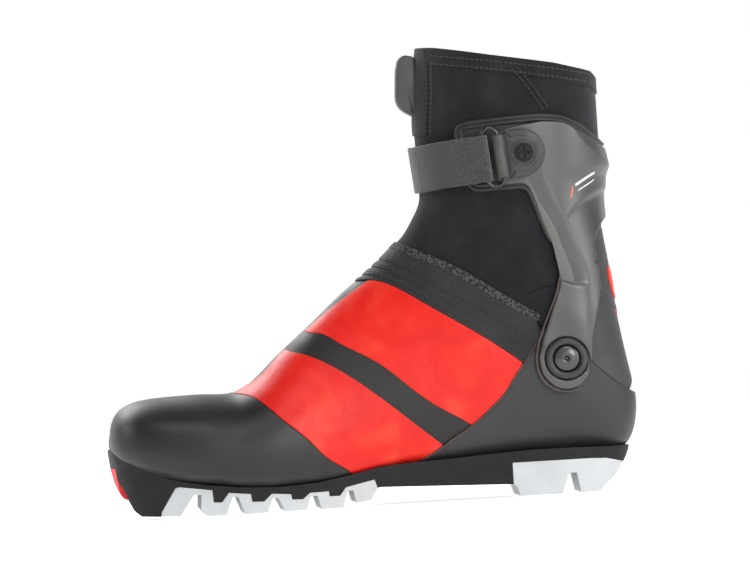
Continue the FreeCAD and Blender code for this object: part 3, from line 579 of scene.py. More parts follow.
def turned(name, profile, x, z, side, base, place=None, sides=48):
    """Solid of revolution about a sideways axis; profile holds (radius, height above base)."""
    verts = []
    for radius, height in profile:
        for k in range(sides):
            a = 2 * math.pi * k / sides
            verts.append((x + radius * math.cos(a), side * (base + height), z + radius * math.sin(a)))
    faces = ring_faces(len(profile), sides) + end_faces(len(profile), sides)
    obj = new_object(name, [place(v) for v in verts] if place else verts, faces)
    face_outwards(obj.data)
    return obj


# ---------------------------------------------------------------- finishes
class Finish:
    """A Principled material built up in layers; texture sizes are in millimetres."""

    def __init__(self, name, colour, rough, metal=0.0, specular=0.5, sheen=0.0):
        self.material = bpy.data.materials.new(name)
        self.material.use_nodes = True
        self.tree = self.material.node_tree
        self.shader = self.tree.nodes["Principled BSDF"]
        constants = {"Base Color": (*colour, 1), "Roughness": rough, "Metallic": metal,
                     "Specular IOR Level": specular, "Sheen Weight": sheen, "Sheen Roughness": 0.5}
        for socket, value in constants.items():
            self.shader.inputs[socket].default_value = value
        self.colour = colour
        self.place = self.tree.nodes.new("ShaderNodeTexCoord").outputs["Object"]
        self.bumped = None

    def feed(self, socket, value):
        if isinstance(value, bpy.types.NodeSocket):
            self.tree.links.new(value, socket)
        else:
            socket.default_value = value

    def node(self, kind, **sockets):
        made = self.tree.nodes.new(kind)
        for name, value in sockets.items():
            socket = made.inputs[name.replace("_", " ")]
            self.feed(socket, value)
        return made

    def math(self, operation, a, b=0.0):
        made = self.tree.nodes.new("ShaderNodeMath")
        made.operation = operation
        for socket, value in zip(made.inputs, (a, b)):
            self.feed(socket, value)
        return made.outputs[0]

    def stretched(self, x, y, z):
        made = self.node("ShaderNodeMapping", Vector=self.place)
        made.inputs["Scale"].default_value = (x, y, z)
        return made.outputs[0]

    def noise(self, size, detail=3.0, rough=0.55, place=None, twist=0.0):
        return self.node("ShaderNodeTexNoise", Vector=place or self.place, Scale=1000.0 / size,
                         Detail=detail, Roughness=rough, Distortion=twist).outputs[0]

    def cells(self, size, place=None, feature="F1"):
        made = self.node("ShaderNodeTexVoronoi", Vector=place or self.place, Scale=1000.0 / size)
        made.feature = feature
        return made.outputs["Distance"]

    def spread(self, value, low, high, to_low=0.0, to_high=1.0):
        return self.node("ShaderNodeMapRange", Value=value, From_Min=low, From_Max=high,
                         To_Min=to_low, To_Max=to_high).outputs[0]

    def cloth(self):
        made = self.tree.nodes.new("ShaderNodeUVMap")
        made.uv_map = "cloth"
        parts = self.node("ShaderNodeSeparateXYZ", Vector=made.outputs[0])
        return parts.outputs[0], parts.outputs[1]

    def weave(self, pitch_u, pitch_v):
        """Crossing threads, 0 to 1, in the cloth's own coordinates."""
        u, v = self.cloth()
        crossing = self.math("MULTIPLY", self.ribs(u, pitch_u), self.ribs(v, pitch_v))
        return self.math("MULTIPLY_ADD", crossing, 0.5)

    def ribs(self, along, pitch):
        return self.math("SINE", self.math("MULTIPLY", along, 2000 * math.pi / pitch))

    def tones(self, fac, *colours):
        ramp = self.node("ShaderNodeValToRGB", Fac=fac)
        stops = ramp.color_ramp.elements
        while len(stops) < len(colours):
            stops.new(0.5)
        for i, colour in enumerate(colours):
            stops[i].position = i / (len(colours) - 1)
            stops[i].color = (*colour, 1)
        self.tree.links.new(ramp.outputs[0], self.shader.inputs["Base Color"])
        return ramp.outputs[0]

    def gloss(self, fac, low, high):
        self.tree.links.new(self.spread(fac, 0.3, 0.7, low, high), self.shader.inputs["Roughness"])

    def bump(self, height, depth, strength=1.0):
        made = self.node("ShaderNodeBump", Height=height, Distance=depth * MM, Strength=strength)
        if self.bumped is not None:
            self.tree.links.new(self.bumped, made.inputs["Normal"])
        self.bumped = made.outputs[0]
        self.tree.links.new(self.bumped, self.shader.inputs["Normal"])

    def mottled(self, size, change, low=0.32, high=0.68):
        """Slightly lighter and darker patches of the base colour."""
        dark = tuple(c * (1 - change) for c in self.colour)
        light = tuple(min(1, c * (1 + change)) for c in self.colour)
        fac = self.spread(self.noise(size, 4), low, high)
        self.tones(fac, dark, self.colour, light)
        return fac


def grey(value, warm=0.0):
    return (value * (1 + warm), value, value * (1 - warm))


HOOKED = (0.182, 0.192)   # the webbing turns from loops to smooth hook tape between these lengths


# Finish by name: material name and base settings; size and depth of its mottling; size, detail and
# range of its roughness; and size, detail, depth and strength of each layer of fine bumps.
PLAIN_FINISHES = {
    "laminate": ("laminate", dict(colour=grey(0.0165, 0.04), rough=0.48, specular=0.34),
        (26, 0.14), (14, 4, 0.42, 0.58), [(0.55, 2, 0.05, 0.6), (9, 3, 0.35, 0.35)]),
    "toe_cap": ("toe_cap_black", dict(colour=grey(0.0125), rough=0.44, specular=0.42),
        (30, 0.12), (20, 4, 0.4, 0.52), [(0.45, 2, 0.03, 0.5)]),
    "counter": ("counter_plastic", dict(colour=grey(0.027), rough=0.46, specular=0.42),
        (34, 0.1), (22, 4, 0.46, 0.58), [(0.7, 2, 0.03, 0.6)]),
    "quarter": ("quarter_textile", dict(colour=grey(0.04), rough=0.56, specular=0.4),
        (20, 0.14), None, [(0.6, 2, 0.05, 0.6), (10, 2, 0.4, 0.3)]),
    "piping": ("piping_brown", dict(colour=(0.06, 0.04, 0.036), rough=0.42),
        (6, 0.25), None, [(1.2, 3, 0.12, 0.6)]),
    "footbed": ("footbed_felt", dict(colour=(0.11, 0.11, 0.125), rough=0.9, specular=0.2, sheen=0.3),
        (5, 0.3), None, [(0.8, 4, 0.3, 0.8)]),
    "cuff": ("cuff_satin", dict(colour=(0.044, 0.045, 0.042), rough=0.36, specular=0.8),
        (40, 0.09), (25, 4, 0.33, 0.42), [(0.8, 3, 0.03, 0.6)]),
    "trim": ("trim_rubber", dict(colour=(0.024, 0.024, 0.021), rough=0.4, specular=0.5),
        (8, 0.25), (6, 3, 0.42, 0.6), [(0.6, 2, 0.05, 0.6)]),
    "strap_black": ("tab_black", dict(colour=grey(0.03), rough=0.42, specular=0.45),
        (9, 0.2), (7, 3, 0.38, 0.54), [(0.6, 2, 0.03, 0.6)]),
    "plastic": ("black_plastic", dict(colour=grey(0.022), rough=0.42),
        (10, 0.2), (7, 3, 0.34, 0.5), [(0.6, 2, 0.03, 0.6)]),
    "tab": ("tab_rubber", dict(colour=(0.056, 0.056, 0.052), rough=0.5, specular=0.36),
        (7, 0.18), None, [(0.7, 3, 0.08, 0.7)]),
    "bolt": ("bolt_satin", dict(colour=grey(0.036), rough=0.3, specular=0.7),
        (14, 0.12), None, []),
    "sole": ("sole_rubber", dict(colour=grey(0.007), rough=0.5, specular=0.28),
        (14, 0.25), (9, 4, 0.46, 0.66), [(0.7, 3, 0.07, 0.7)]),
    "tread": ("tread_rubber", dict(colour=(0.50, 0.52, 0.53), rough=0.5, specular=0.35),
        (16, 0.05), None, [(0.8, 3, 0.06, 0.6), (6, 2, 0.15, 0.3)]),
    "insert": ("insert_rubber", dict(colour=(0.85, 0.012, 0.022), rough=0.46),
        (8, 0.12), None, [(0.7, 3, 0.06, 0.6)]),
    "dark_steel": ("dark_steel", dict(colour=(0.055, 0.055, 0.058), rough=0.26, metal=0.85),
        (4, 0.15), None, [(0.5, 3, 0.03, 0.6)]),
    "thread": ("thread", dict(colour=grey(0.032), rough=0.7, specular=0.3, sheen=0.2),
        (3, 0.2), None, [(0.3, 2, 0.08, 0.7)]),
    "pale_print": ("pale_print", dict(colour=(0.62, 0.62, 0.6), rough=0.5),
        (1.5, 0.2), None, [(0.6, 2, 0.02, 0.5)]),
    "orange_print": ("orange_print", dict(colour=(0.8, 0.16, 0.07), rough=0.5),
        (1.5, 0.15), None, [(0.6, 2, 0.02, 0.5)]),
}


def plain_finish(name, base, mottling, gloss, bumps):
    f = Finish(name, **base)
    f.mottled(*mottling)
    if gloss:
        size, detail, low, high = gloss
        f.gloss(f.noise(size, detail), low, high)
    for size, detail, depth, strength in bumps:
        f.bump(f.noise(size, detail), depth, strength)
    return f


def make_finishes():
    made = {key: plain_finish(*row) for key, row in PLAIN_FINISHES.items()}

    f = Finish("red_film", (0.66, 0.02, 0.012), 0.42, specular=0.3)
    patches = f.spread(f.noise(24, 3, 0.5, twist=0.6), 0.36, 0.72)
    f.tones(patches, (0.60, 0.010, 0.006), (0.66, 0.014, 0.008), (0.70, 0.040, 0.016))
    f.gloss(f.noise(12, 4), 0.36, 0.5)
    f.bump(f.noise(0.6, 2), 0.035, 0.6)
    f.bump(f.noise(13, 3, twist=0.8), 0.7, 0.5)
    made["red"] = f

    f = Finish("stretch_band", grey(0.018, 0.02), 0.6, specular=0.3)
    u, v = f.cloth()
    fine = f.ribs(u, 2.1)
    long_ribs = f.ribs(v, 1.5)
    f.mottled(16, 0.2)
    f.bump(f.spread(fine, -1, 1), 0.16, 0.6)
    f.bump(f.spread(long_ribs, -1, 1), 0.3, 0.8)
    f.bump(f.noise(0.5, 2), 0.05, 0.5)
    made["band"] = f

    f = Finish("neoprene_knit", (0.0115, 0.0118, 0.014), 0.8, specular=0.12, sheen=0.14)
    fac = f.spread(f.noise(18, 4), 0.3, 0.7)
    f.tones(fac, (0.0085, 0.0088, 0.0105), (0.0115, 0.0118, 0.014), (0.016, 0.0165, 0.019))
    f.bump(f.spread(f.weave(1.15, 1.5), 0, 1), 0.16, 0.6)
    f.bump(f.noise(0.5, 2), 0.08, 0.5)
    f.bump(f.noise(15, 3), 0.9, 0.3)
    made["neoprene"] = f

    f = Finish("padding_cloth", grey(0.035), 0.85, specular=0.2, sheen=0.35)
    f.mottled(9, 0.25)
    f.bump(f.cells(1.6), 0.25, 0.7)
    made["padding"] = f

    f = Finish("webbing_weave", grey(0.06), 0.72, specular=0.3, sheen=0.3)
    u, v = f.cloth()
    loops = f.math("MULTIPLY", f.noise(0.7, 2, 0.7), f.spread(u, *HOOKED, 1.0, 0.82))
    f.tones(f.spread(loops, 0.36, 0.7), grey(0.018), grey(0.038), grey(0.07))
    f.bump(f.spread(f.weave(1.5, 1.1), 0, 1), 0.3, 0.8)
    f.bump(loops, 0.35, 0.8)
    bands = f.ribs(v, 5.2)
    f.bump(f.spread(bands, -1, 1), 0.2, 0.4)
    made["webbing"] = f

    f = Finish("lace_speckle", grey(0.02), 0.7, specular=0.25)
    f.tones(f.spread(f.cells(1.5), 0.3, 0.62), grey(0.012), grey(0.02), grey(0.06))
    f.bump(f.cells(1.5), 0.3, 0.7)
    made["speckle"] = f

    f = Finish("bright_steel", (0.55, 0.55, 0.56), 0.26, metal=1.0)
    f.mottled(5, 0.08)
    f.bump(f.noise(0.6, 3, place=f.stretched(1, 1, 0.12)), 0.02, 0.5)
    made["steel"] = f

    f = Finish("zip_coating", grey(0.02), 0.5)
    f.mottled(5, 0.2)
    f.bump(f.weave(0.9, 0.9), 0.1, 0.6)
    made["zip"] = f
    return made


FINISHES = make_finishes()


def dress(obj, finish, body=None, stands_for=()):
    obj.data.materials.clear()
    obj.data.materials.append(FINISHES[finish].material)
    if body:
        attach(obj, body)
    if stands_for:
        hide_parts(*stands_for)
    return obj


# ---------------------------------------------------------------- the foot's outer panels
above_feather = above(FEATHER)
toe_zone = region([(-160, -20), (-160, 80), (-75, 80)] + list(TOE_CAP_EDGE) + [(-10, -20)])
counter_zone = region(list(COUNTER_FRONT) + list(COUNTER_TOP) + [(160, 0), (16, 0)])
below_band = region([(-160, -20), (-160, 146), (-30, 146)] + list(BAND_LOW) + [(98, 62), (98, -20)])
band_zone = region(list(BAND_LOW) + [(97, 84)] + list(BAND_TOP[::-1]) + [(-14, 146)])
quarter_zone = region([(96, 91.3), (107, 60), (160, 40), (160, 150), (60, 150), (60, 118.3)]
                      + list(BAND_TOP[16:]))
pivot_disc = disc(*PIVOT, 40.6)


FILM_EDGE_X = (-82, -70, -64, -58, -52, -46, -38, -30, -15, 4)
FILM_EDGE_Y = (-2, -4, -12, -14, -11, -8.5, -8.5, -9.5, -11, -12)


def beside_crest(p):
    """Positive on both walls, where the film leaves a black strip free down the instep."""
    edge = np.interp(p[:, 0], FILM_EDGE_X, FILM_EDGE_Y)
    return np.maximum(edge - p[:, 1], p[:, 1] + edge - 1)


def creased(height, seed, size=16):
    return lambda p, depth: height + 0.16 * waves(p, size, seed)


foot_skin = patch("foot_skin", both(above_feather, below_band), creased(0.0, 3), -1.2, 0.5)
dress(foot_skin, "laminate", "boot",
      ("stripe_medial", "stripe_lateral", "instep_cover", "textile_upper"))

toe_cap = patch("toe_cap_moulded", both(above_feather, toe_zone), 0.7, -1.0, 1.0)
dress(toe_cap, "toe_cap", "boot", ("toe_cap",))

front_film = both(region(list(TOE_CAP_EDGE) + [(40, 5), (70, 5)] + list(STRIPE_FRONT[::-1])),
                  above_feather, beside_crest)
red_front = patch("film_front", without(front_film, counter_zone), creased(0.42, 3), -0.6, 0.35)
dress(red_front, "red", "boot", ("front_panel_medial", "front_panel_lateral"))

rear_film = both(region(list(STRIPE_BACK) + [(90, 40), (90, 72)] + list(BAND_LOW[::-1])
                        + [(-36, 122)]),
                 above_feather, beside_crest)
red_rear = patch("film_rear", without(rear_film, counter_zone), creased(0.42, 3), -0.6, 0.35)
dress(red_rear, "red", "boot", ("rear_panel_medial", "rear_panel_lateral"))


def band_relief(p, depth):
    run, off = along_line(p, BAND_LOW)
    grooves = sum(np.exp(-((off - at) / 0.6) ** 2) for at in (2.4, 7.0, 11.6))
    return 0.7 - 0.75 * grooves


def band_cloth(p):
    run, off = along_line(p, BAND_LOW)
    return np.stack([run, off], 1)


def near(line, half):
    return lambda p: half - line_distance(p, line)


flex_band = patch("flex_band", band_zone, band_relief, -1.2, 0.6, cloth_from=band_cloth)
dress(flex_band, "band", "boot", ("flex_band_medial", "flex_band_lateral"))

fray = patch("flex_band_upper_edge", near([(x + 0.8, z + 0.6) for x, z in BAND_TOP], 2.2),
             0.95, 0.2, 0.5, cloth_from=band_cloth)
dress(fray, "speckle", "boot")

counter = patch("heel_counter_moulded", both(above_feather, counter_zone), 0.65, -1.0, 0.9)
dress(counter, "counter", "boot", ("heel_counter",))


piping = cord_on_body("counter_edge_piping", [COUNTER_FRONT[9:], smooth(COUNTER_TOP[1:5])], 0.75, 0.55)
dress(piping, "piping", "boot", ("counter_piping",))

quarter = patch("rear_quarter_panel", without(both(quarter_zone, pivot_disc), counter_zone),
                creased(0.05, 5, 24), -1.0, 0.4)
dress(quarter, "quarter", "boot", ("rear_quarter",))
side_fabric_zone = both(quarter_zone, pivot_disc, lambda p: 112 - p[:, 0])
side_fabric = patch("rear_quarter_fabric", without(side_fabric_zone, counter_zone), 0.2, -0.4, 0.2)
dress(side_fabric, "neoprene", "boot")

# ---------------------------------------------------------------- stretch gaiter and collar
def blend_step(value, width):
    """0 below the line, 1 above it, smooth over width."""
    t = np.clip(value / width + 0.5, 0, 1)
    return t * t * (3 - 2 * t)


sock_zone = both(region([(x, z + 0.4) for x, z in BAND_TOP] + [(100, 104), (160, 98)] + COLLAR_TOP
                        + [(0, 250)]),
                 lambda p: np.hypot(p[:, 0] - PIVOT[0], p[:, 2] - PIVOT[1]) - SHAFT_SPLIT)


def sock_relief(p, depth):
    x, z = p[:, 0], p[:, 2]
    soft = 0.35 * waves(p, 34, 11)
    fold = np.exp(-((z - 168 + 0.25 * (x - 60)) / 7.0) ** 2) * np.exp(-((x - 45) / 30) ** 2)
    return soft - 0.2 + 0.5 * fold * (x < 90)


def sock_inside(p, depth):
    """The sock is thicker low down, where it holds the padding between foot and collar."""
    below_shaft = 167 - 0.931 * (p[:, 0] - 34) - p[:, 2]
    return -3.0 - 2.6 * blend_step(below_shaft - 3, 3)


sock = patch("collar_and_gaiter", sock_zone, sock_relief, sock_inside, 0.7)
dress(sock, "neoprene")
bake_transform(sock)
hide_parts("gaiter", "collar", "gaiter_lining")

# ---------------------------------------------------------------- cuff
CUFF_CREASE = smooth([(99.1, 174.0), (101.3, 167.9), (105.0, 159.2), (109.5, 150.4), (113.0, 140.8),
                      (117.8, 126.2), (120.0, 116.3), (119.8, 108), (118.2, 96.8), (116.6, 84)], 5)
REAR_FACET = [(112.0, 206.0), (119.8, 193.6), (127.0, 186.0), (141.0, 173.5), (160, 160)]
CHEVRON = smooth([(109.0, 148.0), (113.5, 154.6), (121.1, 160.4), (128.2, 163.9),
                  (139.8, 167.2), (150, 168)], 5)
NOTCH = smooth([(141.5, 160.5), (133.6, 152.5), (128.0, 145.7), (124.8, 138.0), (124.2, 130)], 5)
KINK = [(100, 121.5), (106.6, 117.8), (111.2, 115.4), (121, 113.0), (130, 112)]


def cuff_relief(p, depth):
    x, z = p[:, 0], p[:, 2]
    height = np.full(len(p), 5.3)
    _, off = along_line(p, CUFF_CREASE)
    below_plate = blend_step(176 - z, 8)
    in_front = np.clip(-off, 0, 14)
    _, over_kink = along_line(p, KINK)
    steep = 0.08 + 0.34 * blend_step(over_kink, 2)
    height -= below_plate * steep * in_front
    behind = np.clip(off, 0, 30)
    height -= below_plate * 0.06 * behind
    _, facet = along_line(p, REAR_FACET)
    height -= 0.30 * np.clip(facet, 0, 10)
    _, over_chevron = along_line(p, CHEVRON)
    under_chevron = blend_step(-over_chevron, 1.6) * blend_step(12 + over_chevron, 22)
    height -= 0.9 * under_chevron * below_plate * (off > 0)
    _, notch = along_line(p, NOTCH)
    height -= 0.30 * np.clip(notch, 0, 5) * (z > 125) * (z < 166)
    dish = np.hypot(x - 110, z - 185)
    height += 0.35 * np.exp(-(dish / 22) ** 2)
    return height


cuff_zone = without(region(rounded(CUFF, 2.2)), disc(*PIVOT, 11.75))
cuff = patch("cuff_moulded", cuff_zone, cuff_relief, 2.7, 0.9, levels=(0.0, 0.1, 0.3, 0.6, 1.0),
             surface=CUFF_BASE)
dress(cuff, "cuff", "cuff", ("cuff_shell",))


def printed_bar(name, finish, start, end, half):
    """Thin printed bar on the cuff's plate, a plain stand-in for the printing on such a boot."""
    path, normals = [], []
    for t in np.linspace(0, 1, 9):
        x, z = start[0] + t * (end[0] - start[0]), start[1] + t * (end[1] - start[1])
        lift = cuff_relief(np.array([[x, 0.0, z]]), None)[0]
        place, normal = on_body(x, z, -1, lift, CUFF_TREE)
        path.append(place)
        normals.append(normal)
    bar = tube(name, path, half, 10, flat=0.2 / half, normals=np.array(normals))
    dress(bar, finish, "cuff")


printed_bar("print_slash", "orange_print", (112.9, 161.4), (114.2, 168.0), 0.45)
printed_bar("print_bar_high", "pale_print", (115.6, 168.6), (126.4, 175.3), 0.75)
printed_bar("print_bar_low", "pale_print", (116.9, 165.6), (126.2, 171.2), 0.4)


def bead_relief(p, depth):
    """Two round beads side by side along the edge of the trim."""
    first = np.exp(-((depth - 1.3) / 0.75) ** 4)
    second = np.exp(-((depth - 3.6) / 0.8) ** 4)
    return 1.7 + 1.0 * np.maximum(first, second)


trim_zone = region(rounded(TRIM, 3.0))
trim = patch("cuff_edge_trim", trim_zone, bead_relief, 0.9, 0.6,
             levels=(0.0, 0.2, 0.5, 1.0), sharp=(0.9, 1.3, 1.8, 2.2, 2.5, 2.8, 3.2, 3.6, 4.1, 4.5, 5.0),
             surface=CUFF_BASE)
dress(trim, "trim", "cuff", ("cuff_trim",))
LIP = smooth([(106.0, 119.5), (104.4, 112.6), (99.0, 99.4), (93.6, 87.0), (90.9, 77.0), (91.0, 69.5),
              (93.6, 63.0), (99.0, 58.2), (106.5, 56.0), (113.5, 57.2)])
lip = cord_on_body("cuff_arm_lip", [LIP], 3.2, 0.55, CUFF_TREE)
dress(lip, "piping", "cuff")

# ---------------------------------------------------------------- collar details
HEM_SEAMS = (
    [(43.8, 244.5), (82, 238.2), (114.7, 232.3), (131, 229)],
    [(43.5, 240.2), (81.7, 233.9), (114.4, 227.9), (129.6, 224.8)],
)
SEAM_A = smooth([(86.8, 234.5), (93.1, 226.1), (97.7, 219.0), (103.1, 210.2)], 4)
SEAM_B = SEAM_A + np.array([2.6, 0.9])
PLACKET_SEAM = smooth([(42.6, 246), (41.8, 238), (40.9, 222), (39.6, 208), (39.2, 201)], 4)
rows = [(seam, side) for seam in HEM_SEAMS for side in (-1, 1)]
rows += [(seam, side) for seam in (SEAM_A, SEAM_B, PLACKET_SEAM, PLACKET_SEAM + np.array([2.2, 0]))
         for side in (-1, 1)]
threads = stitching("collar_stitches", rows, lift=0.75, pitch=2.6, length=1.8, radius=0.3)
dress(threads, "thread", "cuff")


def hem_relief(p, depth):
    return 0.75 - 0.25 * np.exp(-((depth - 4.6) / 0.7) ** 2) + 0.08 * waves(p, 9, 21)


hem_zone = region(COLLAR_TOP + [(0, 251), (0, 243)] + [(x, z - 8.8) for x, z in COLLAR_TOP[::-1]])
hem = patch("collar_top_hem", hem_zone, hem_relief, 0.05, 0.6)
dress(hem, "neoprene", "cuff", ("collar_hem",))
placket_zone = region([(15, 202.5), (39.3, 201), (40.9, 222), (42.2, 245), (43, 262), (15, 262)])
placket = patch("collar_placket", both(placket_zone, sock_zone),
                lambda p, d: 0.95 + 0.1 * waves(p, 12, 31), 0.05, 0.7)
dress(placket, "neoprene", "cuff", ("placket",))

# ---------------------------------------------------------------- heel, zip and inner pads
achilles_zone = region([(116, 98), (118, 120), (119, 142), (123, 148), (150, 148), (150, 90)])
achilles = patch("achilles_panel_moulded", both(achilles_zone, lambda p: -pivot_disc(p) + 1.3),
                 lambda p, d: 0.7 - 0.35 * np.exp(-((d - 3.0) / 0.6) ** 2), 0.05, 0.5)
dress(achilles, "quarter", "cuff", ("achilles_panel",))
flash_zone = region([(133.6, 122.6), (134.3, 114), (136.3, 106), (138.4, 104.5), (160, 106),
                     (160, 122.6)])
flash = patch("heel_flash_red", both(flash_zone, lambda p: -pivot_disc(p) + 1.3),
              lambda p, d: 1.3 - 0.3 * np.exp(-((d - 1.6) / 0.4) ** 2), 0.6, 0.4)
dress(flash, "red", "cuff", ("heel_flash",))
low_flash_zone = region([(136.6, 101.0), (137.7, 98.0), (139.1, 94.8), (160, 94.8), (160, 101.0)])
low_flash = patch("heel_flash_low", low_flash_zone, 0.5, -0.3, 0.35)
dress(low_flash, "red", "boot")

ZIP_Y = 17.0
ZIP_X = (-45.5, 13.0)


def top_of_body(x, y, lift):
    hit, normal, _, _ = FOOT_TREE.ray_cast(Vector((x, y, 230)), Vector((0, 0, -1)))
    normal = normal if normal.z > 0 else -normal
    return np.array(hit + normal * lift)


zip_zone = both(lambda p: 6.2 - np.abs(p[:, 1] - ZIP_Y), lambda p: p[:, 2] - 60,
                lambda p: p[:, 0] - ZIP_X[0], lambda p: ZIP_X[1] - p[:, 0])
zip_tape = patch("zip_tape_cloth", zip_zone, lambda p, d: 0.72 - 0.25 * (d > 4.4), 0.05, 0.4)
dress(zip_tape, "zip", "boot", ("zip_tape",))
teeth = []
for i, x in enumerate(np.arange(ZIP_X[0] + 2, ZIP_X[1] - 8, 1.25)):
    y = ZIP_Y + (0.5 if i % 2 else -0.5)
    path = [top_of_body(x, y + dy, 0.72) for dy in (-1.1, -0.9, 0, 0.9, 1.1)]
    teeth.append(tube("tooth", path, np.array([0.2, 0.5, 0.55, 0.5, 0.2]), 6))
dress(join("zip_teeth", teeth), "plastic", "boot")


def copied(node, name):
    """World-space copy of a CAD node's mesh, welded, that can be worked on."""
    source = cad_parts[node]
    mesh = source.data.copy()
    mesh.transform(source.matrix_world)
    face_outwards(mesh, weld=2e-5)
    return linked(name, mesh)


def apply_all(obj):
    """Freezes the object's modifiers into its mesh."""
    graph = bpy.context.evaluated_depsgraph_get()
    mesh = bpy.data.meshes.new_from_object(obj.evaluated_get(graph))
    obj.modifiers.clear()
    obj.data = mesh


def padded_copy(node, name, voxel, shrink, cap):
    """Soft pad from a CAD solid: remeshed, blown up as cloth, then smoothed."""
    obj = copied(node, name)
    obj.modifiers.new("remesh", "REMESH").voxel_size = voxel * MM
    apply_all(obj)
    count = len(obj.data.vertices)
    start = np.empty(count * 3)
    normals = np.empty(count * 3)
    obj.data.vertices.foreach_get("co", start)
    obj.data.vertices.foreach_get("normal", normals)
    start = start.reshape(-1, 3) - shrink * MM * normals.reshape(-1, 3)
    obj.data.vertices.foreach_set("co", start.ravel())
    cloth = obj.modifiers.new("cloth", "CLOTH")
    cloth.settings.quality = 3
    cloth.settings.use_pressure = True
    cloth.settings.uniform_pressure_force = 4.0
    cloth.settings.effector_weights.gravity = 0.0
    cloth.settings.tension_stiffness = 12
    cloth.settings.compression_stiffness = 12
    for step in range(1, 21):
        bpy.context.scene.frame_set(step)
    apply_all(obj)
    bpy.context.scene.frame_set(1)
    moved = np.empty(count * 3)
    obj.data.vertices.foreach_get("co", moved)
    shift = np.nan_to_num(moved.reshape(-1, 3) - start)
    length = np.linalg.norm(shift, axis=1, keepdims=True)
    shift *= np.minimum(1.0, cap * MM / np.maximum(length, 1e-9))
    obj.data.vertices.foreach_set("co", (start + shift).ravel())
    smooth_over = obj.modifiers.new("relax", "SMOOTH")
    smooth_over.factor, smooth_over.iterations = 0.5, 3
    obj.modifiers.new("subdivide", "SUBSURF").levels = 1
    apply_all(obj)
    obj.data.polygons.foreach_set("use_smooth", np.ones(len(obj.data.polygons), bool))
    return obj


PADS = (
    ("collar_lining", "collar_pad", "cuff", 2.2),
    ("foot_lining", "foot_pad", "boot", 3.0),
    ("tongue", "tongue_pad", "boot", 2.2),
)
for node, name, body, voxel in PADS:
    pad = padded_copy(node, name, voxel, shrink=0.35, cap=0.6)
    dress(pad, "padding", body, (node,))

# ---------------------------------------------------------------- pivots
PIVOT_RING = [(7.4, -0.45), (7.4, 0.5), (7.7, 1.1), (8.5, 1.65), (9.6, 1.85), (10.6, 1.6),
              (11.1, 1.0), (11.4, 0.2), (11.4, -0.45)]
PIVOT_DOME = [(6.85, 0.65), (6.85, 1.2), (6.5, 1.65), (5.4, 2.05), (3.4, 2.45), (1.75, 2.6),
              (1.45, 2.4), (1.35, 1.8), (1.35, 0.7)]
for side, word in ((-1, "medial"), (1, "lateral")):
    base = abs(on_body(*PIVOT, side, 0.0, CUFF_TREE)[0][1]) + 5.4
    ring = turned("pivot_ring_" + word, PIVOT_RING, *PIVOT, side, base)
    dress(ring, "plastic", "cuff", ("pivot_rings",))
    dome = turned("pivot_bolt_" + word, PIVOT_DOME, *PIVOT, side, base)
    dress(dome, "bolt", "boot", ("pivot_bolts",))

# ---------------------------------------------------------------- strap, tab and anchor
STRAP_TILT = math.radians(5.5)


def tilted(v):
    """Turns a point of the level strap about its screws, so that it rises to the heel."""
    dx, dz = v[0] - SCREW[0], v[2] - SCREW[1]
    return np.array([SCREW[0] + dx * math.cos(STRAP_TILT) - dz * math.sin(STRAP_TILT), v[1],
                     SCREW[1] + dx * math.sin(STRAP_TILT) + dz * math.cos(STRAP_TILT)])


SHAFT_MIDDLE, RING_FRONT, RING_REAR, RING_Y = 84.0, 68.5, 77.0, 48.39
WEB_INNER, WEB_OUTER, LOOP = (53.05, 47.44), (54.85, 53.66), 3.05   # half axes of the middle line
LOOP_DEEP = 2.0
WIRE_R = 1.15


def webbing_path():
    path = []
    first = math.acos((97.8 - SHAFT_MIDDLE) / WEB_INNER[0])
    last = 2 * math.pi - math.acos((RING_FRONT - SHAFT_MIDDLE) / WEB_INNER[0])
    for a in np.linspace(first, last, 70):
        path.append((SHAFT_MIDDLE + WEB_INNER[0] * math.cos(a), WEB_INNER[1] * math.sin(a)))
    for a in np.linspace(math.pi / 2, -math.pi / 2, 12)[1:-1]:
        path.append((RING_FRONT + LOOP_DEEP * math.cos(a), -RING_Y + LOOP * math.sin(a)))
    first = 2 * math.pi - math.acos((RING_FRONT - SHAFT_MIDDLE) / WEB_OUTER[0])
    last = 2 * math.pi - math.acos((33.6 - SHAFT_MIDDLE) / WEB_OUTER[0])
    for a in np.linspace(first, last, 34):
        path.append((SHAFT_MIDDLE + WEB_OUTER[0] * math.cos(a), WEB_OUTER[1] * math.sin(a)))
    return np.array(path)


def make_webbing():
    path = webbing_path()
    run = np.concatenate([[0], np.cumsum(np.linalg.norm(np.diff(path, axis=0), axis=1))])
    ahead = unit(np.gradient(path, axis=0))
    out = np.stack([ahead[:, 1], -ahead[:, 0]], 1)
    across = [(-12.7, -0.35), (-12.55, -0.62), (-12.2, -0.72)]
    across += [(h, -0.75) for h in np.linspace(-11, 11, 9)]
    across += [(12.2, -0.72), (12.55, -0.62), (12.7, -0.35)]
    section = across + [(h, -t) for h, t in reversed(across)]
    count = len(section)
    verts, cloth = [], []
    for i, (x, y) in enumerate(path):
        droop = 0.18 * math.sin(run[i] * 0.11) + 0.1 * math.sin(run[i] * 0.29 + 1)
        for h, t in section:
            thick = t * (1 + 0.06 * math.sin(h * 1.2))
            verts.append(tilted((x + out[i, 0] * thick, y + out[i, 1] * thick, SCREW[1] + h + droop)))
            cloth.append((run[i], h))
    faces = ring_faces(len(path), count) + end_faces(len(path), count)
    obj = new_object("strap_webbing_sewn", verts, faces, cloth)
    face_outwards(obj.data)
    end = [tilted((path[-1][0] - 0.15, path[-1][1], SCREW[1] + h)) for h in np.linspace(-12.4, 12.4, 8)]
    return obj, end


webbing, webbing_end = make_webbing()
dress(webbing, "webbing", "strap", ("strap_webbing",))
dress(tube("strap_end_binding", webbing_end, 0.78, 8), "webbing", "strap")

TAB_MIDDLE = 11.5


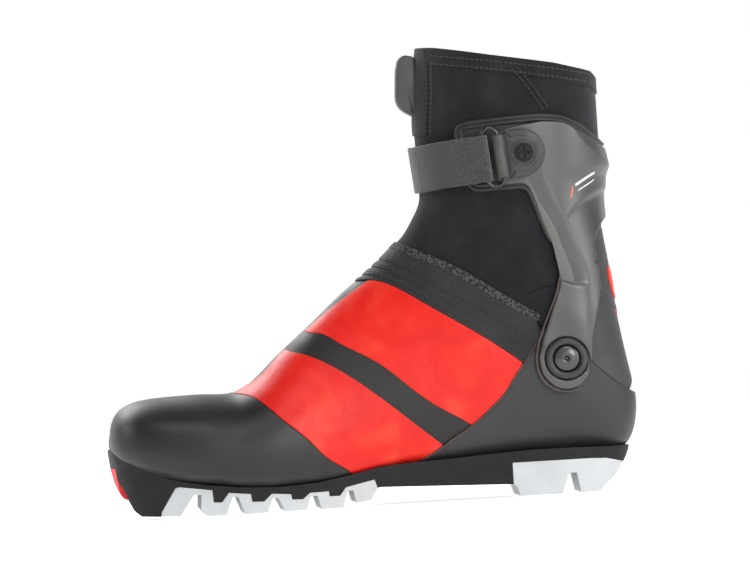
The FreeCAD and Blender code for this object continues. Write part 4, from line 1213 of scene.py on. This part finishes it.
def round_end(radius, steps):
    return [(TAB_MIDDLE + radius * math.cos(a), radius * math.sin(a))
            for a in np.linspace(-math.pi / 2, math.pi / 2, steps)]


D_SHAPE = ([(x, -13.2) for x in (0.0, 2, 5, 8)] + round_end(13.2, 25)
           + [(x, 13.2) for x in (8, 5, 2, 0.0)])
STEP_SHAPE = [(4.6, -9.6), (8.0, -9.6)] + round_end(9.6, 21) + [(8.0, 9.6), (4.6, 9.6)]
BOSS = [(7.4, 1.5), (7.4, 2.85), (7.1, 3.15), (6.7, 3.2), (6.5, 2.9), (6.1, 2.9), (5.9, 3.15),
        (5.4, 3.2), (2.7, 3.2)]
TAB_FACES = {-1: 47.19, 1: 48.79}


def plate_place(side, front):
    return lambda a, b, h: tilted((front + a, side * (TAB_FACES[side] + h), SCREW[1] + b))


for side, word, front in ((-1, "tab", RING_REAR), (1, "anchor", RING_REAR - 1)):
    shape = rounded(D_SHAPE, 1.0, 3)
    shape[:, 0] = np.maximum(shape[:, 0], 0.0 if side > 0 else 3.6)
    keep = np.concatenate([[True], np.linalg.norm(np.diff(shape, axis=0), axis=1) > 0.05])
    shape = shape[keep]
    plate = stacked("strap_%s_plate" % word, shape,
                    [(0.5, 0.05), (0.15, 0.2), (0.0, 0.6), (0.0, 1.8), (0.2, 2.2), (0.6, 2.4)],
                    plate_place(side, front))
    dress(plate, "strap_black", "strap", ("strap_tab" if side < 0 else "strap_anchor",))
    step = stacked("strap_%s_step" % word, rounded(STEP_SHAPE, 0.6, 3),
                   [(0.0, 2.1), (0.0, 2.6), (0.12, 2.75), (0.3, 2.8)], plate_place(side, front))
    dress(step, "strap_black", "strap")
    boss = turned("strap_%s_boss" % word, BOSS, *SCREW, side, TAB_FACES[side], tilted)
    dress(boss, "strap_black", "strap")
ROLL = ((-11.8, 0.86), (-11.6, 0.96), (-11, 1), (-6, 1), (0, 1), (6, 1), (11, 1), (11.6, 0.96),
        (11.8, 0.86))   # height, share of the roll's radius
ROLL_R = 3.45
roll_path = [tilted((RING_REAR, -RING_Y, SCREW[1] + h)) for h, _ in ROLL]
roll = tube("strap_tab_roll", roll_path, ROLL_R * np.array([share for _, share in ROLL]), 28)
dress(roll, "tab", "strap")
neck = stacked("strap_tab_neck", [(1.5, -11.7), (5.4, -11.7), (5.4, 11.7), (1.5, 11.7)],
               [(0.3, 0.3), (0, 0.5), (0, 1.7), (0.3, 1.95)], plate_place(-1, RING_REAR))
dress(neck, "strap_black", "strap")

wire = []
middle, bend, straight = 0.5 * (RING_FRONT + RING_REAR), 0.5 * (RING_REAR - RING_FRONT), 12.0
for up in (-1, 1):
    for a in np.linspace(0, math.pi, 15):
        wire.append(tilted((middle + up * bend * math.cos(a), -RING_Y,
                            SCREW[1] + up * (straight + bend * math.sin(a)))))
    for share in (0.2, 0.4, 0.6, 0.8):
        wire.append(tilted((middle - up * bend, -RING_Y, SCREW[1] + up * straight * (1 - 2 * share))))
dress(tube("strap_ring_wire", wire, WIRE_R, 14, closed=True), "dark_steel", "ring",
      ("strap_ring",))

# ---------------------------------------------------------------- pull tab, treads and sole
PULL_TAB = [(36.0, 244.9), (30, 246.3), (26.8, 244.3), (25.2, 238), (24.1, 222.5), (24.9, 218.5),
            (27.4, 215.4), (33.6, 211.6), (35.0, 213.5), (35.4, 220), (36.0, 232)]
HALF_PULL = [(0.0, 4.6), (0.25, 5.6), (0.0, 6.6), (0.2, 7.6), (0.7, 8.2), (1.6, 8.4)]
pull_levels = [(by, -h) for by, h in reversed(HALF_PULL)] + [(0.0, 0.0)] + HALF_PULL
pull = stacked("pull_tab_sewn", rounded(PULL_TAB, 2.2, 5), pull_levels, lambda a, b, h: (a, h, b))
dress(pull, "tab", "cuff", ("pull_tab",))


def softened(node, name, width):
    """Copy of a hard CAD part with its sharp edges slightly rounded."""
    obj = copied(node, name)
    flat = obj.modifiers.new("flatten", "DECIMATE")
    flat.decimate_type = "DISSOLVE"
    flat.angle_limit = math.radians(1.0)
    edge = obj.modifiers.new("bevel", "BEVEL")
    edge.width = width * MM
    edge.segments = 2
    edge.limit_method = "ANGLE"
    edge.angle_limit = math.radians(35)
    apply_all(obj)
    obj.data.polygons.foreach_set("use_smooth", np.zeros(len(obj.data.polygons), bool))
    return obj


for place in ("forefoot", "heel"):
    for strip in ("medial", "centre", "lateral"):
        node = "%s_tread_%s" % (place, strip)
        dress(softened(node, node + "_rubber", 0.5), "tread", "boot", (node,))
dress(softened("toe_insert", "toe_insert_rubber", 0.5), "insert", "boot", ("toe_insert",))

# ---------------------------------------------------------------- camera, light and floor
PIXEL = 0.55 * MM
AIM = Vector((5.8, -18.0, 122.6)) * MM
TILT = math.radians(3.6)
YAW = math.radians(3.0)
DISTANCE = 5.0
IMAGE_WIDTH = 750
SENSOR = 36.0     # mm


def make_camera():
    data = bpy.data.cameras.new("photo_camera")
    data.sensor_width = SENSOR
    data.lens = SENSOR * DISTANCE / (IMAGE_WIDTH * PIXEL)
    data.clip_start, data.clip_end = 0.05, 60.0
    camera = linked("photo_camera", data)
    back = Vector((-math.sin(YAW), -math.cos(YAW), 0))
    right = Vector((math.cos(YAW), -math.sin(YAW), 0))
    up = Vector((0, 0, 1))
    rolled_right = right * math.cos(TILT) - up * math.sin(TILT)
    rolled_up = right * math.sin(TILT) + up * math.cos(TILT)
    turn = Matrix((rolled_right, rolled_up, back)).transposed()
    camera.matrix_world = Matrix.Translation(AIM + back * DISTANCE) @ turn.to_4x4()
    bpy.context.scene.camera = camera


def area_light(name, place, aim, size, power):
    data = bpy.data.lights.new(name, "AREA")
    data.shape = "RECTANGLE"
    data.size, data.size_y = size
    data.energy = power
    light = linked(name, data)
    light.location = place
    light.rotation_euler = (Vector(aim) - Vector(place)).to_track_quat("-Z", "Y").to_euler()


def make_stage():
    half, wall, turn, high, drop = 14.0, 7.7, 3.0, 12.0, 0.0004
    profile = [(-half, 0.0)] + [(wall + turn * math.sin(a), turn - turn * math.cos(a))
                                for a in np.linspace(0, math.pi / 2, 14)] + [(wall + turn, high)]
    verts, faces = [], []
    for y, z in profile:
        verts += [(-half, y, z - drop), (half, y, z - drop)]
    for i in range(len(profile) - 1):
        faces.append([2 * i, 2 * i + 1, 2 * i + 3, 2 * i + 2])
    mesh = bpy.data.meshes.new("studio_floor")
    mesh.from_pydata(verts, [], faces)
    mesh.polygons.foreach_set("use_smooth", np.ones(len(mesh.polygons), bool))
    floor = linked("studio_floor", mesh)
    paper = Finish("paper", (0.9, 0.9, 0.9), 0.9, specular=0.0)
    paper.shader.inputs["Emission Color"].default_value = (1, 1, 1, 1)
    paper.shader.inputs["Emission Strength"].default_value = 0.72
    floor.data.materials.append(paper.material)
    world = bpy.data.worlds.new("studio")
    bpy.context.scene.world = world
    world.use_nodes = True
    world.node_tree.nodes["Background"].inputs[0].default_value = (1, 1, 1, 1)
    world.node_tree.nodes["Background"].inputs[1].default_value = 0.07
    area_light("glint", (0.8, -1.75, 0.62), (0.07, 0, 0.16), (0.45, 0.45), 15)
    area_light("right", (2.0, -0.9, 0.7), (0.06, 0, 0.12), (0.8, 1.2), 17)
    area_light("top", (0.3, -1.1, 1.7), (0.02, 0, 0.1), (1.2, 0.9), 14)
    area_light("left", (-1.9, 0.1, 0.9), (-0.1, 0, 0.06), (0.7, 1.0), 12)
    area_light("rim", (-0.8, 1.3, 1.25), (-0.03, 0, 0.1), (1.2, 0.8), 22)
    area_light("front", (-0.3, -2.4, 0.7), (0.02, 0, 0.1), (1.6, 1.0), 3)
    bpy.context.scene.view_settings.view_transform = "Standard"


make_camera()
make_stage()

# ---------------------------------------------------------------- CAD parts that keep their shape
KEPT = {
    "lasting_board": "footbed", "footbed": "footbed", "outsole_frame": "sole", "toe_bar": "steel",
    "pivot_bushes": "dark_steel", "pivot_nuts": "steel",
    "strap_washers": "sole", "strap_screws": "sole", "strap_nuts": "steel",
    "zip_slider": "dark_steel", "zip_puller": "plastic",
}
for node, finish in KEPT.items():
    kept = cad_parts[node]
    kept.data.materials.clear()
    kept.data.materials.append(FINISHES[finish].material)

bpy.context.view_layer.update()
